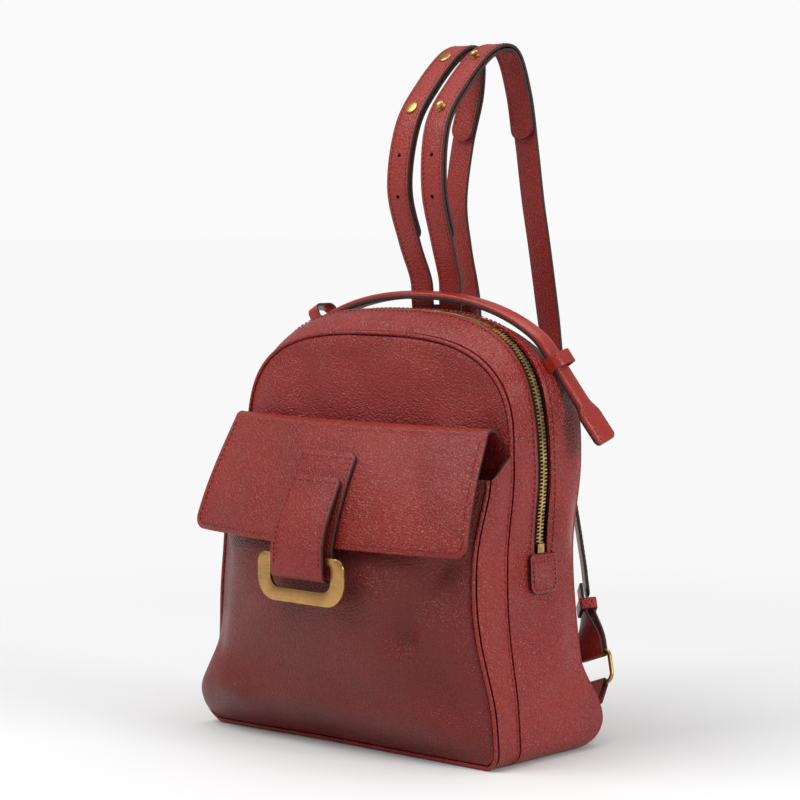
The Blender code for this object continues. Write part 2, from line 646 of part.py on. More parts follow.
def make_flap(kit, snap_foot, snap_axis):
    """Flap with its closure strap, ring and snap stud; returns nothing."""
    leather = kit["leather"]
    hanging = flap_grid(FLAP_BOTTOM_Z, FLAP_FOLD_Z - FOLD_ROLL, 9)
    flap = sheet("flap", hanging, LEATHER, leather)
    edge = flap_grid(FLAP_FOLD_Z + GAP, FLAP_FOLD_Z + GAP, 1)[0]
    seam_x = edge[:, 0]
    wide = seam_x / (half_width(np.array(FLAP_SEAM_Z), FRONT_TOP) - PIPED_INSET)
    rows = []
    for z in (FLAP_SEAM_Z - FLAP_SEAM_HIGH, FLAP_SEAM_Z):
        level = np.full_like(seam_x, z)
        rows.append(np.stack([seam_x, front_surface(wide, level) - 2.0 * GAP, level], 1))
    for share in (1.0 / 3.0, 2.0 / 3.0):
        lift = np.array([0.0, 0.0, FLAP_ARCH * 4.0 * share * (1.0 - share)])
        rows.append(rows[1] * (1.0 - share) + edge * share + lift)
    sheet("flap_fold", np.stack([*rows, edge]), LEATHER, leather,
          Vector((0.0, ZIP_PLANE - (FRONT_DEPTH + FLAP_BOTTOM_DEPTH) / 2.0, FLAP_SEAM_Z - 0.020)))

    strap = make_closure_strap(kit)
    stud = disc("snap_stud", SNAP_RADIUS, SNAP_THICK, snap_foot, snap_axis, kit["steel"])
    hang_on("flap_axis", flap_axis(), [flap, strap, stud])
    ring_centre = ring_bar_centre() - Vector((0.0, 0.0, RING_HIGH / 2.0 - RING_BAR / 2.0))
    hole_high = RING_HIGH - RING_BAR - RING_FOOT
    hole = rounded_outline(RING_WIDE - 2.0 * RING_SIDE, hole_high, 0.008, 0.004)
    shift = (RING_FOOT - RING_BAR) / 2.0
    hole = [(x, z + shift) for x, z in hole]
    rim = rounded_outline(RING_WIDE, RING_HIGH, 0.016, 0.008)
    ring = flat_ring("closure_ring", [rim, hole], RING_THICK, ring_centre, kit["brass"])
    hang_on("ring_axis", ring_bar_centre(), [ring])


def flap_axis():
    """A point on the flap's folding line."""
    return Vector((0.0, float(flap_surface(0.0, FLAP_FOLD_Z)), FLAP_FOLD_Z))


def ring_bar_centre():
    """Middle of the ring's upper bar, inside the fold of the closure strap."""
    y = float(flap_surface(0.0, FLAP_BOTTOM_Z)) - 2.0 * GAP - TAB_THICK / 2.0 - TAB_FOLD_RADIUS
    return Vector((0.0, y, TAB_FOLD_Z + RING_RISE))


def make_closure_strap(kit):
    """Wide strap sewn to the flap that folds round the ring's upper bar and comes up in front."""
    offset = 2.0 * GAP + TAB_THICK / 2.0
    z = np.linspace(TAB_TOP_Z, FLAP_BOTTOM_Z, 8)
    slope = np.gradient(flap_surface(0.0, z), z)
    lean = np.sqrt(1.0 + slope ** 2)
    back_y = flap_surface(0.0, z) - offset * lean
    bar = ring_bar_centre()
    turn = np.linspace(0.0, math.pi, 9)
    fold_y = bar.y + TAB_FOLD_RADIUS * np.cos(turn)
    fold_z = TAB_FOLD_Z - TAB_FOLD_RADIUS * np.sin(turn)
    front = (z > FLAP_BOTTOM_Z - GAP) & (z <= TAB_FRONT_TOP_Z)
    front_z = z[front][::-1]
    front_y = back_y[front][::-1] - 2.0 * TAB_FOLD_RADIUS
    path_y = np.concatenate([back_y, fold_y, front_y])
    path_z = np.concatenate([z, fold_z, front_z])
    path = np.stack([np.zeros_like(path_y), path_y, path_z], 1)
    across = np.tile([1.0, 0.0, 0.0], (len(path), 1))
    return ribbon("closure_strap", path, across, 2.0 * TAB_HALF, TAB_THICK, kit["leather"])


# ----------------------------------------------------------------- handle
def handle_path(count):
    """Middle line of the handle, from the left paddle over the top to the right paddle."""
    rise = (HANDLE_END[2] - SHOULDER_Z) / (HANDLE_TOP - SHOULDER_Z)
    half = HANDLE_END[0] / (1.0 - rise ** HANDLE_POWER) ** (1.0 / HANDLE_POWER)
    x = np.linspace(-HANDLE_END[0], HANDLE_END[0], count)
    drop = 1.0 - np.abs(x / half) ** HANDLE_POWER
    z = SHOULDER_Z + (HANDLE_TOP - SHOULDER_Z) * drop ** (1.0 / HANDLE_POWER)
    arch = np.stack([x, np.full_like(x, HANDLE_DEPTH), z], 1)
    ends = np.array([HANDLE_NECK, HANDLE_TIP])
    neck = (np.array(HANDLE_END) + np.array(HANDLE_NECK)) / 2.0
    right = np.array([neck, ends[0], ends[0] * 0.6 + ends[1] * 0.4, ends[1]])
    left = right * np.array([-1.0, 1.0, 1.0])
    path = np.concatenate([left[::-1], arch, right])
    return path + np.array([0.0, ZIP_PLANE, 0.0])


def make_handle(kit):
    """Handle with a paddle at each end, and the two keepers it slides in."""
    path = handle_path(21)
    count = len(path)
    width = np.full(count, HANDLE_WIDTH)
    width[[0, 1, -2, -1]] = PADDLE_WIDTH
    across = np.tile([0.0, 1.0, 0.0], (count, 1))
    handle = ribbon("handle", path, across, width, HANDLE_THICK, kit["strap"])
    hang_on("handle_axis", path[count // 2], [handle])
    end, neck = np.array(HANDLE_END), np.array(HANDLE_NECK)
    fine = handle_path(201)
    spot = int(np.argmin(np.abs(fine[:, 0] + LEFT_KEEPER_X)))
    left = (fine[spot], fine[spot - 1] - fine[spot + 1], LEFT_KEEPER_RISE, LEFT_KEEPER_SLACK)
    right = (end + (neck - end) * KEEPER_AT + np.array([0.0, ZIP_PLANE, 0.0]), neck - end, 0.0, 0.0)
    for side, word, (middle, along, rise, slack) in ((-1.0, "left", left), (1.0, "right", right)):
        along = along / np.linalg.norm(along)
        wide = np.array([0.0, 1.0, 0.0]) - along[1] * along
        wide /= np.linalg.norm(wide)
        up = np.cross(along, wide) * -side
        up *= np.sign(up[2])
        low = -HANDLE_THICK / 2.0 - GAP - slack - THIN_LEATHER / 2.0
        high = HANDLE_THICK / 2.0 + KEEPER_PLAY + rise + THIN_LEATHER / 2.0
        half = HANDLE_WIDTH / 2.0 + KEEPER_SIDE_PLAY + THIN_LEATHER / 2.0
        loop = rounded_outline(2.0 * half, high - low, 0.0015, 0.003, 3)
        path = np.array([middle + wide * x + up * (z + (high + low) / 2.0) for x, z in loop])
        across = np.tile(along, (len(path), 1))
        ribbon("handle_keeper_" + word, path, across, KEEPER_WIDTH, THIN_LEATHER, kit["strap"], True)


# ----------------------------------------------------------------- shoulder straps
def smooth_route(points, per_span):
    """A smooth curve through the route's points."""
    points = np.asarray(points)
    before = np.concatenate([2.0 * points[:1] - points[1:2], points[:-1]])[:-1]
    after = np.concatenate([points[2:], 2.0 * points[-1:] - points[-2:-1]])
    t = np.linspace(0.0, 1.0, per_span, endpoint=False)[None, :, None]
    p0, p1, p2, p3 = (part[:, None, :] for part in (before, points[:-1], points[1:], after))
    curve = 0.5 * (2.0 * p1 + (p2 - p0) * t + (2.0 * p0 - 5.0 * p1 + 4.0 * p2 - p3) * t ** 2
                   + (3.0 * p1 - p0 - 3.0 * p2 + p3) * t ** 3)
    return np.concatenate([curve.reshape(-1, 3), points[-1:]])


def strap_frame(path):
    """Across and outward directions of a strap that stays as level as it can."""
    tangent = np.gradient(path, axis=0)
    tangent /= np.linalg.norm(tangent, axis=1, keepdims=True)
    wide = np.array([1.0, 0.0, 0.0]) - tangent[:, :1] * tangent
    wide /= np.linalg.norm(wide, axis=1, keepdims=True)
    return wide, np.cross(wide, tangent)


def make_shoulder_strap(side, word, kit):
    """One shoulder strap: a long layer, a short layer, their studs, and the fixed lower end."""
    flip = np.array([side, 1.0, 1.0])
    base = np.array([0.0, ZIP_PLANE, 0.0])
    route = np.array(STRAP_ROUTE)
    route[:, 2] += (ZIP_TOP - ROUTE_TOP) * np.clip((route[:, 2] - ROUTE_LOW) / (ROUTE_TOP - ROUTE_LOW), 0.0, 1.0)
    path = resample(smooth_route(route, 6), 61) * flip + base
    wide, out = strap_frame(path)
    out *= side
    if out[len(out) // 8, 1] > 0.0:
        out = -out
    long_layer = ribbon("strap_long_" + word, path + out * STRAP_STEP, wide, STRAP_WIDTH, STRAP_THICK,
                        kit["strap"])
    first, last = (round(share * (len(path) - 1)) for share in SHORT_LAYER)
    part = slice(first, last + 1)
    short_layer = ribbon("strap_short_" + word, (path - out * STRAP_STEP)[part], wide[part], STRAP_WIDTH,
                         STRAP_THICK, kit["strap"])
    moving = [long_layer, short_layer]
    for number, share in enumerate(STUDS_AT, 1):
        spot = round(share * (len(path) - 1))
        size = (STUD_RADIUS, STUD_HIGH) if side > 0.0 else (RIVET_RADIUS, RIVET_HIGH)
        foot = path[spot] + out[spot] * (STRAP_STEP + STRAP_THICK / 2.0 + GAP)
        moving.append(disc(f"strap_stud_{word}_{number}", *size, foot, out[spot], kit["brass"], 16))
    hang_on("strap_axis_" + word, path[0], moving)
    make_lower_end(side, word, kit)


def fold_path(start, bar, along, out, radius, leg_back):
    """A strap from start to the bar, round it, and back for a length; along points to the bar."""
    turn = np.linspace(0.0, math.pi, 9)[:, None]
    bend = bar + radius * (np.cos(turn) * out + np.sin(turn) * along)
    back = bend[-1] - along * leg_back
    return np.concatenate([[start + out * radius], bend, [back]])


def make_lower_end(side, word, kit):
    """Fixed end of a strap folded round its ring, the keeper on it, the ring and its chape."""
    flip = np.array([side, 1.0, 1.0])
    base = np.array([0.0, ZIP_PLANE, 0.0])
    top = np.array(TAIL_TOP) * flip + base
    low = np.array(TAIL_LOW) * flip + base
    along = (low - top) / np.linalg.norm(low - top)
    wide = np.array([1.0, 0.0, 0.0]) - along[0] * along
    wide /= np.linalg.norm(wide)
    out = np.cross(wide, along)
    out *= np.sign(out[1])
    reach = LOOP_WIRE + GAP + STRAP_THICK / 2.0
    fold = fold_path(top, low, along, -out, reach, 0.036)
    across = np.tile(wide, (len(fold), 1))
    ribbon("strap_tail_" + word, fold, across, STRAP_WIDTH, STRAP_THICK, kit["strap"])

    half_wide = STRAP_WIDTH / 2.0 + 0.0008 + THIN_LEATHER / 2.0
    half_deep = reach + STRAP_THICK / 2.0 + 2.0 * GAP + THIN_LEATHER / 2.0
    loop = rounded_outline(2.0 * half_wide, 2.0 * half_deep, 0.0014, 0.0014, 3)
    keeper_centre = low - along * 0.030
    path = np.array([keeper_centre + wide * x + out * z for x, z in loop])
    across = np.tile(along, (len(path), 1))
    ribbon("strap_keeper_" + word, path, across, 0.008, THIN_LEATHER, kit["strap"], True)

    wire = rounded_outline(LOOP_WIDE, LOOP_HIGH, 0.006, 0.004, 5)
    centre = low + along * LOOP_HIGH / 2.0
    path = [centre + wide * x - along * z for x, z in wire]
    tube("lower_ring_" + word, path, LOOP_WIRE, kit["brass"], True)

    bar = low + along * LOOP_HIGH
    foot = np.array(CHAPE_FOOT) * flip + base
    rise = (bar - foot) - ((bar - foot) @ wide) * wide
    length = float(np.linalg.norm(rise))
    rise /= length
    face = np.cross(wide, rise)
    face *= np.sign(face[1])
    reach = LOOP_WIRE + GAP + THIN_LEATHER / 2.0
    fold = fold_path(bar - rise * length, bar, rise, face, reach, length)
    ribbon("ring_chape_" + word, fold, np.tile(wide, (len(fold), 1)), CHAPE_WIDTH, THIN_LEATHER, kit["strap"])


def make_back_fittings(kit):
    """Yoke that holds both straps at the top of the back, and one stud on each side."""
    z = np.linspace(BACK_TOP - YOKE_HIGH + 0.010, BACK_TOP + 0.0130, 7)
    x = np.linspace(-YOKE_HALF, YOKE_HALF, 5)
    grid_x, grid_z = np.meshgrid(x, z)
    depth = back_surface(grid_x / SHOULDER_HALF, np.minimum(grid_z, BACK_TOP - 0.012))
    grid = np.stack([grid_x, depth + THIN_LEATHER + 3.0 * GAP + 0.0009, grid_z], 2)
    sheet("strap_yoke", grid, THIN_LEATHER, kit["strap"])
    stud_x, stud_z = BACK_STUD
    for side, word in ((-1.0, "left"), (1.0, "right")):
        across = stud_x / float(half_width(stud_z, BACK_TOP))
        foot = Vector((side * stud_x, float(back_surface(across, stud_z)) + 2.0 * GAP, stud_z))
        disc("back_stud_" + word, BACK_STUD_RADIUS, BACK_STUD_HIGH, foot, (0.0, 1.0, 0.0), kit["brass"])


def main():
    """Build the whole bag."""
    clear_scene()
    collection = bpy.data.collections.new(COLLECTION)
    bpy.context.scene.collection.children.link(collection)
    kit = make_finishes()
    leaning = make_body(kit)
    leaning += make_piping(kit)
    leaning += make_zip(kit)
    hang_on("mouth_axis", (0.0, ZIP_PLANE - MOUTH_DEPTH, MOUTH_Z), leaning)
    snap_foot, snap_axis = make_pocket(kit)
    make_flap(kit, snap_foot, snap_axis)
    make_slider(kit)
    make_handle(kit)
    for side, word in ((-1.0, "left"), (1.0, "right")):
        make_shoulder_strap(side, word, kit)
    make_back_fittings(kit)


if __name__ == "__main__":
    main()
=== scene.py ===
"""Red leather backpack: flap pocket with a metal ring, arched zip top, domed handle, two straps.

Metres, +Z up, the flap faces -Y.  Depths are counted from the plane of the zip.
"""

import logging
import math
from dataclasses import dataclass
from enum import Enum
from typing import Callable, Sequence

import bmesh
import bpy
import numpy as np
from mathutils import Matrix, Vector

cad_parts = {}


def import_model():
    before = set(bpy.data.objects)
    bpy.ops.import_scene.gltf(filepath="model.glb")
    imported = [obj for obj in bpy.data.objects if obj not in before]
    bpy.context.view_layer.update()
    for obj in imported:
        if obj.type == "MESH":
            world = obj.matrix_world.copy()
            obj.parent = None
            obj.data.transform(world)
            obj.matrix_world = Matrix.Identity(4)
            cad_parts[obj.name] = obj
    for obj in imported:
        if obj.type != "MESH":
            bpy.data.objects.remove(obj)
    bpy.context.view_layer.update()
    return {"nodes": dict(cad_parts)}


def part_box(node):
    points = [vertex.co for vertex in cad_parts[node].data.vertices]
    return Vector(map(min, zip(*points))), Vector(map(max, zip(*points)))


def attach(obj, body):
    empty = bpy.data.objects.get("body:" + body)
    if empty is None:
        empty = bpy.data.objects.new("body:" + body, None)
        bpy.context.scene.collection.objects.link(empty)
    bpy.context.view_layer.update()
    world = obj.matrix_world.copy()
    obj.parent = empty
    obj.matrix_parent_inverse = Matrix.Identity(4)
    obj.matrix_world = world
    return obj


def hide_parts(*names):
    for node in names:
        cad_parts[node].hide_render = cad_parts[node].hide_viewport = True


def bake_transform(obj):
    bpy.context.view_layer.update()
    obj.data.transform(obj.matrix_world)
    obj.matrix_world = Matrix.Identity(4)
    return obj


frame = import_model()

LOG = logging.getLogger("backpack")
MM = 0.001
Array = np.ndarray
Material, Piece, Tree, Socket = bpy.types.Material, bpy.types.Object, bpy.types.NodeTree, bpy.types.NodeSocket
Finishes = Sequence[Material]
Depth = Callable[[Array], Array]

# --- placement, walls and fits, as in the solid model
ZIP_PLANE = -0.0054
SLUMP = (0.0062, 0.0082)    # how far the left front corner sags sideways and forwards
GAP = 0.0003
LEATHER = 0.0020
THIN = 0.0016
SIDE_STATIONS = ((0.0, 0.1300), (0.138, 0.1175), (0.200, 0.1240))
SHOULDER_Z, SHOULDER_HALF, ARCH_POWER = 0.200, 0.1240, 3.0
ZIP_TOP, FRONT_TOP, BACK_TOP, CORNER = 0.300, 0.285, 0.288, 0.012
ZIP_LEATHER_TOP = ZIP_TOP - 0.5 * MM    # the leather beside the zip ends just under its arch
FRONT_DEPTH = 0.028
BACK_STATIONS = ((0.0, 0.048), (0.020, 0.060), (0.065, 0.041), (0.220, 0.041), (0.288, 0.033))
MOUTH_Z, MOUTH_DEPTH, MOUTH_BAND = 0.2360, 0.0400, 0.010
PIPING_JOIN = MOUTH_Z - 0.03    # where the arch and the cup of the front seam meet
ZIP_END_Z, ZIP_DRIFT, ZIP_EDGE = 0.138, 0.007, 0.007
PIPED_INSET = 0.0047        # the solid panels stop here, beside their piping
PANEL_INSET = 0.0034        # the leather of a piped panel reaches closer to it
PANEL_FOOT = CORNER * 0.32  # lowest row of a piped panel, where its round corners close
X_AXIS, Y_AXIS = np.array([1.0, 0.0, 0.0]), np.array([0.0, 1.0, 0.0])
INSIDE = np.array([0.0, ZIP_PLANE, 0.140])

# --- pitch, length and half the thickness of the stitches on each kind of piece
BODY_STITCH = (4.0 * MM, 3.0 * MM, 0.36 * MM)
CLOSURE_STITCH = (3.6 * MM, 2.7 * MM, 0.36 * MM)
PATCH_STITCH = (3.0 * MM, 2.3 * MM, 0.32 * MM)
HANDLE_STITCH = (3.4 * MM, 2.5 * MM, 0.30 * MM)
STRAP_STITCH = (3.6 * MM, 2.7 * MM, 0.26 * MM)
YOKE_STITCH = (3.4 * MM, 2.6 * MM, 0.36 * MM)


class Body(Enum):
    """The moving bodies that pieces ride on."""

    SHELL = "shell"
    MOUTH = "mouth"
    FLAP = "flap"
    RING = "ring"
    SLIDER = "slider"
    PULL = "pull"
    HANDLE = "handle"
    STRAP_LEFT = "strap_left"
    STRAP_RIGHT = "strap_right"


class Slot(Enum):
    """Names of the record's material slots; mount takes one for each piece but does not use it."""

    LEATHER = "leather"
    STRAP = "strap"
    BRASS = "brass"
    TAPE = "tape"
    LINING = "lining"


# ----------------------------------------------------------------- finishes
def linear(code: str, alpha: float = 1.0) -> tuple[float, float, float, float]:
    """Turn an sRGB hex colour into linear values.

    Args:
        code: six hex digits.
        alpha: the fourth value.

    Returns:
        Red, green, blue and alpha.
    """
    parts = [int(code[i:i + 2], 16) / 255.0 for i in (0, 2, 4)]
    low = [p / 12.92 if p <= 0.04045 else ((p + 0.055) / 1.055) ** 2.4 for p in parts]
    return (low[0], low[1], low[2], alpha)


def node(tree: Tree, kind: str, settings: dict | None = None, links: dict | None = None) -> bpy.types.Node:
    """Add one node.

    Args:
        tree: the node tree.
        kind: the node's type.
        settings: properties by name, and socket values by name or number.
        links: output sockets to join, by the new node's input name or number.

    Returns:
        The new node.
    """
    made = tree.nodes.new(kind)
    for key, value in (settings or {}).items():
        if isinstance(key, str) and hasattr(made, key):
            setattr(made, key, value)
        else:
            made.inputs[key].default_value = value
    for key, source in (links or {}).items():
        tree.links.new(source, made.inputs[key])
    return made


def ramp(tree: Tree, source: Socket, stops: Sequence[tuple[float, tuple]]) -> Socket:
    """Read a value through a colour ramp.

    Args:
        tree: the node tree.
        source: the value.
        stops: position and linear colour of each stop.

    Returns:
        The ramp's colour socket.
    """
    made = node(tree, "ShaderNodeValToRGB", links={"Fac": source})
    band = made.color_ramp
    while len(band.elements) < len(stops):
        band.elements.new(0.5)
    for element, (place, colour) in zip(band.elements, stops):
        element.position, element.color = place, colour
    return made.outputs["Color"]


def blank(name: str, settings: dict) -> tuple[Material, Tree, bpy.types.Node, Socket]:
    """Start a material.

    Args:
        name: the material's name.
        settings: values of its shader's sockets by name.

    Returns:
        The material, its tree, its shader and the Object coordinate socket.
    """
    material = bpy.data.materials.new(name)
    material.use_nodes = True
    tree = material.node_tree
    shader = tree.nodes["Principled BSDF"]
    for key, value in settings.items():
        shader.inputs[key].default_value = value
    return material, tree, shader, node(tree, "ShaderNodeTexCoord").outputs["Object"]


@dataclass(frozen=True)
class Leather:
    """Calf leather, drummed for a pebbled grain and finished with a thin gloss.

    The grain breaks the highlights into fine points and the dye lies a little
    deeper in some places, so the red drifts over a hand's width.
    """

    name: str
    light: str
    deep: str
    grain_mm: float
    relief_mm: float
    roughness: float
    coat: float
    coat_roughness: float = 0.30
    ior: float = 1.41

    def build(self) -> Material:
        """Make the material from noise for the dye and Voronoi cells for the pebbles."""
        material, tree, shader, place = blank(self.name, {
            "IOR": self.ior, "Coat Weight": self.coat, "Coat Roughness": self.coat_roughness})
        cells = 1.0 / (self.grain_mm * MM)
        warp = node(tree, "ShaderNodeTexNoise", {"Scale": cells * 0.45, "Detail": 2.0}, {"Vector": place})
        bent = node(tree, "ShaderNodeMix", {"data_type": "VECTOR", 0: 0.00055},
                    {4: place, 5: warp.outputs["Color"]})
        pebbles = node(tree, "ShaderNodeTexVoronoi", {"feature": "SMOOTH_F1", "Scale": cells,
                                                      "Smoothness": 0.35, "Detail": 0.0},
                       {"Vector": bent.outputs[1]})
        creases = node(tree, "ShaderNodeTexVoronoi", {"feature": "DISTANCE_TO_EDGE", "Scale": cells * 0.55},
                       {"Vector": bent.outputs[1]})
        valley = node(tree, "ShaderNodeMapRange", {"From Max": 0.22, "To Min": 0.0, "To Max": 0.55},
                      {"Value": creases.outputs["Distance"]})
        dye = node(tree, "ShaderNodeTexNoise", {"Scale": 14.0, "Detail": 3.0, "Roughness": 0.55},
                   {"Vector": place})
        tone = ramp(tree, dye.outputs["Fac"], ((0.32, linear(self.deep)), (0.70, linear(self.light))))
        dark = node(tree, "ShaderNodeMapRange", {"From Min": 0.0, "From Max": 0.9, "To Min": 1.06,
                                                 "To Max": 0.80}, {"Value": pebbles.outputs["Distance"]})
        colour = node(tree, "ShaderNodeMix", {"data_type": "RGBA", "blend_type": "MULTIPLY", 0: 1.0},
                      {6: tone, 7: dark.outputs["Result"]})
        tree.links.new(colour.outputs[2], shader.inputs["Base Color"])
        patch = node(tree, "ShaderNodeTexNoise", {"Scale": 38.0, "Detail": 2.0}, {"Vector": place})
        low, high = self.roughness - 0.05, self.roughness + 0.07
        rough = node(tree, "ShaderNodeMapRange", {"From Min": 0.3, "From Max": 0.7, "To Min": low,
                                                  "To Max": high}, {"Value": patch.outputs["Fac"]})
        tree.links.new(rough.outputs["Result"], shader.inputs["Roughness"])
        fine = node(tree, "ShaderNodeTexNoise", {"Scale": cells * 2.1, "Detail": 1.0}, {"Vector": place})
        height = node(tree, "ShaderNodeMath", {"operation": "MULTIPLY_ADD", 1: -1.0},
                      {0: pebbles.outputs["Distance"], 2: valley.outputs["Result"]})
        height = node(tree, "ShaderNodeMath", {"operation": "MULTIPLY_ADD", 1: 0.30},
                      {0: fine.outputs["Fac"], 2: height.outputs["Value"]})
        bump = node(tree, "ShaderNodeBump", {"Strength": 1.0, "Distance": self.relief_mm * MM},
                    {"Height": height.outputs["Value"]})
        tree.links.new(bump.outputs["Normal"], shader.inputs["Normal"])
        return material


@dataclass(frozen=True)
class Plain:
    """A matt or satin finish whose tone drifts a little, with a fine tooth."""

    name: str
    light: str
    deep: str
    tooth_mm: float
    relief_mm: float
    roughness: float
    metallic: float = 0.0

    def build(self) -> Material:
        """Make the material from one noise for tone and one for the tooth."""
        material, tree, shader, place = blank(self.name, {"Metallic": self.metallic})
        tone = node(tree, "ShaderNodeTexNoise", {"Scale": 160.0, "Detail": 3.0}, {"Vector": place})
        colour = ramp(tree, tone.outputs["Fac"], ((0.30, linear(self.deep)), (0.70, linear(self.light))))
        tree.links.new(colour, shader.inputs["Base Color"])
        rough = node(tree, "ShaderNodeMapRange", {"To Min": self.roughness - 0.06, "To Max": self.roughness
                                                  + 0.08}, {"Value": tone.outputs["Fac"]})
        tree.links.new(rough.outputs["Result"], shader.inputs["Roughness"])
        tooth = node(tree, "ShaderNodeTexNoise", {"Scale": 1.0 / (self.tooth_mm * MM), "Detail": 2.0},
                     {"Vector": place})
        bump = node(tree, "ShaderNodeBump", {"Strength": 0.8, "Distance": self.relief_mm * MM},
                    {"Height": tooth.outputs["Fac"]})
        tree.links.new(bump.outputs["Normal"], shader.inputs["Normal"])
        return material


@dataclass(frozen=True)
class Brushed:
    """Brass brushed along X and lacquered: long soft streaks and a few dull spots of wear."""

    name: str
    light: str
    deep: str
    roughness: float
    streak_mm: float = 0.25

    def build(self) -> Material:
        """Make the material from a noise stretched along X."""
        material, tree, shader, place = blank(self.name, {"Metallic": 1.0})
        fine = 1.0 / (self.streak_mm * MM)
        drawn = node(tree, "ShaderNodeMapping", {"Scale": (fine * 0.02, fine, fine)}, {"Vector": place})
        streak = node(tree, "ShaderNodeTexNoise", {"Scale": 1.0, "Detail": 3.0},
                      {"Vector": drawn.outputs["Vector"]})
        wear = node(tree, "ShaderNodeTexNoise", {"Scale": 70.0, "Detail": 2.0}, {"Vector": place})
        mixed = node(tree, "ShaderNodeMath", {"operation": "MULTIPLY_ADD", 1: 0.80},
                     {0: streak.outputs["Fac"], 2: wear.outputs["Fac"]})
        colour = ramp(tree, mixed.outputs["Value"], ((0.70, linear(self.deep)), (1.0, linear(self.light))))
        tree.links.new(colour, shader.inputs["Base Color"])
        low, high = self.roughness - 0.04, self.roughness + 0.07
        rough = node(tree, "ShaderNodeMapRange", {"From Min": 0.3, "From Max": 0.8, "To Min": low,
                                                  "To Max": high}, {"Value": wear.outputs["Fac"]})
        tree.links.new(rough.outputs["Result"], shader.inputs["Roughness"])
        bump = node(tree, "ShaderNodeBump", {"Strength": 0.5, "Distance": 0.04 * MM},
                    {"Height": streak.outputs["Fac"]})
        tree.links.new(bump.outputs["Normal"], shader.inputs["Normal"])
        return material


@dataclass(frozen=True)
class Woven:
    """Plain-woven cloth: raised threads in two directions, a little drift in the dye."""

    name: str
    light: str
    deep: str
    thread_mm: float
    roughness: float = 0.85

    def build(self) -> Material:
        """Make the material from two crossed bands, one along X and one along Z."""
        material, tree, shader, place = blank(self.name, {"Sheen Weight": 0.15, "Roughness": self.roughness})
        # one wave of the band texture is 1 / (3.18 * scale) long
        scale = 1.0 / (self.thread_mm * MM * 3.18)
        warp = node(tree, "ShaderNodeTexWave", {"bands_direction": "X", "Scale": scale, "Distortion": 0.4},
                    {"Vector": place})
        weft = node(tree, "ShaderNodeTexWave", {"bands_direction": "Z", "Scale": scale, "Distortion": 0.4},
                    {"Vector": place})
        both = node(tree, "ShaderNodeMath", {"operation": "MAXIMUM"},
                    {0: warp.outputs["Fac"], 1: weft.outputs["Fac"]})
        colour = ramp(tree, both.outputs["Value"], ((0.15, linear(self.deep)), (0.95, linear(self.light))))
        tree.links.new(colour, shader.inputs["Base Color"])
        bump = node(tree, "ShaderNodeBump", {"Strength": 0.7, "Distance": 0.15 * MM},
                    {"Height": both.outputs["Value"]})
        tree.links.new(bump.outputs["Normal"], shader.inputs["Normal"])
        return material


@dataclass(frozen=True)
class Sweep:
    """A matt paper floor that turns into its own light away from the middle, as on a lit sweep."""

    name: str
    paper: str
    glow: str
    near: float
    far: float

    def build(self) -> Material:
        """Make the material: paper inside the near radius, glow beyond the far one."""
        material, tree, shader, place = blank(self.name, {
            "Base Color": linear(self.paper), "Roughness": 0.6, "Specular IOR Level": 0.1})
        reach = node(tree, "ShaderNodeVectorMath", {"operation": "LENGTH"}, {0: place})
        share = node(tree, "ShaderNodeMapRange", {"interpolation_type": "SMOOTHSTEP", "From Min": self.near,
                                                  "From Max": self.far}, {"Value": reach.outputs["Value"]})
        glow = node(tree, "ShaderNodeEmission", {"Color": linear(self.glow), "Strength": 1.0})
        both = node(tree, "ShaderNodeMixShader", links={0: share.outputs["Result"], 1: shader.outputs[0],
                                                        2: glow.outputs[0]})
        sink = next(item for item in tree.nodes if item.type == "OUTPUT_MATERIAL")
        tree.links.new(both.outputs[0], sink.inputs["Surface"])
        return material


class Palette:
    """Every finish of the bag, made once."""

    def __init__(self) -> None:
        """Build the finishes."""
        self.body = Leather("pebbled calf leather, body", "901B13", "7E160F", 1.60, 0.60, 0.31, 0.14).build()
        self.front = Leather("pebbled calf leather, front", "8C1B10", "7C170D", 1.30, 0.52, 0.34,
                             0.09).build()
        # the pocket face takes a darker copy of the front leather: painted shade from under the flap
        self.pocket = Leather("pebbled calf leather, pocket, painted shade", "70140C", "62110A", 1.30, 0.44, 0.35,
                              0.08).build()
        self.strap = Leather("pebbled calf leather, straps", "98251C", "8A1E15", 1.15, 0.34, 0.38,
                             0.08).build()
        self.handle = Leather("glazed calf leather, handle", "9C241C", "8C1C14", 1.00, 0.14, 0.30,
                              0.20).build()
        # three thin coats of edge paint on raw leather: dark, nearly matt, slightly uneven
        self.edge = Plain("dark brown edge paint", "2A1D18", "17100D", 0.9, 0.05, 0.62).build()
        self.thread = Plain("waxed red thread", "7A1F1B", "60130F", 0.35, 0.04, 0.60).build()
        # brushed, lacquered brass: warm yellow with long soft streaks
        self.brass = Brushed("brushed lacquered brass", "BE935A", "A07A48", 0.32).build()
        # tumbled brass teeth, slightly tarnished in their gaps
        self.teeth = Plain("tumbled brass", "D8B878", "8E6F3E", 0.5, 0.02, 0.28, 1.0).build()
        self.steel = Plain("antique plated steel", "8B7C62", "5C5142", 0.6, 0.02, 0.34, 1.0).build()
        self.black_metal = Plain("black oxide metal", "2C2523", "171311", 0.6, 0.02, 0.35, 0.6).build()
        self.tape = Woven("black polyester zip tape", "191616", "060505", 0.8).build()
        self.lining = Woven("beige cotton lining", "8C7459", "5E4A36", 1.2).build()
        self.board = Plain("grey fibre board", "A08F78", "7C6C58", 0.7, 0.08, 0.8).build()
        self.ground = Sweep("pale studio floor", "DBDBDB", "F9F9F9", 0.30, 1.00).build()


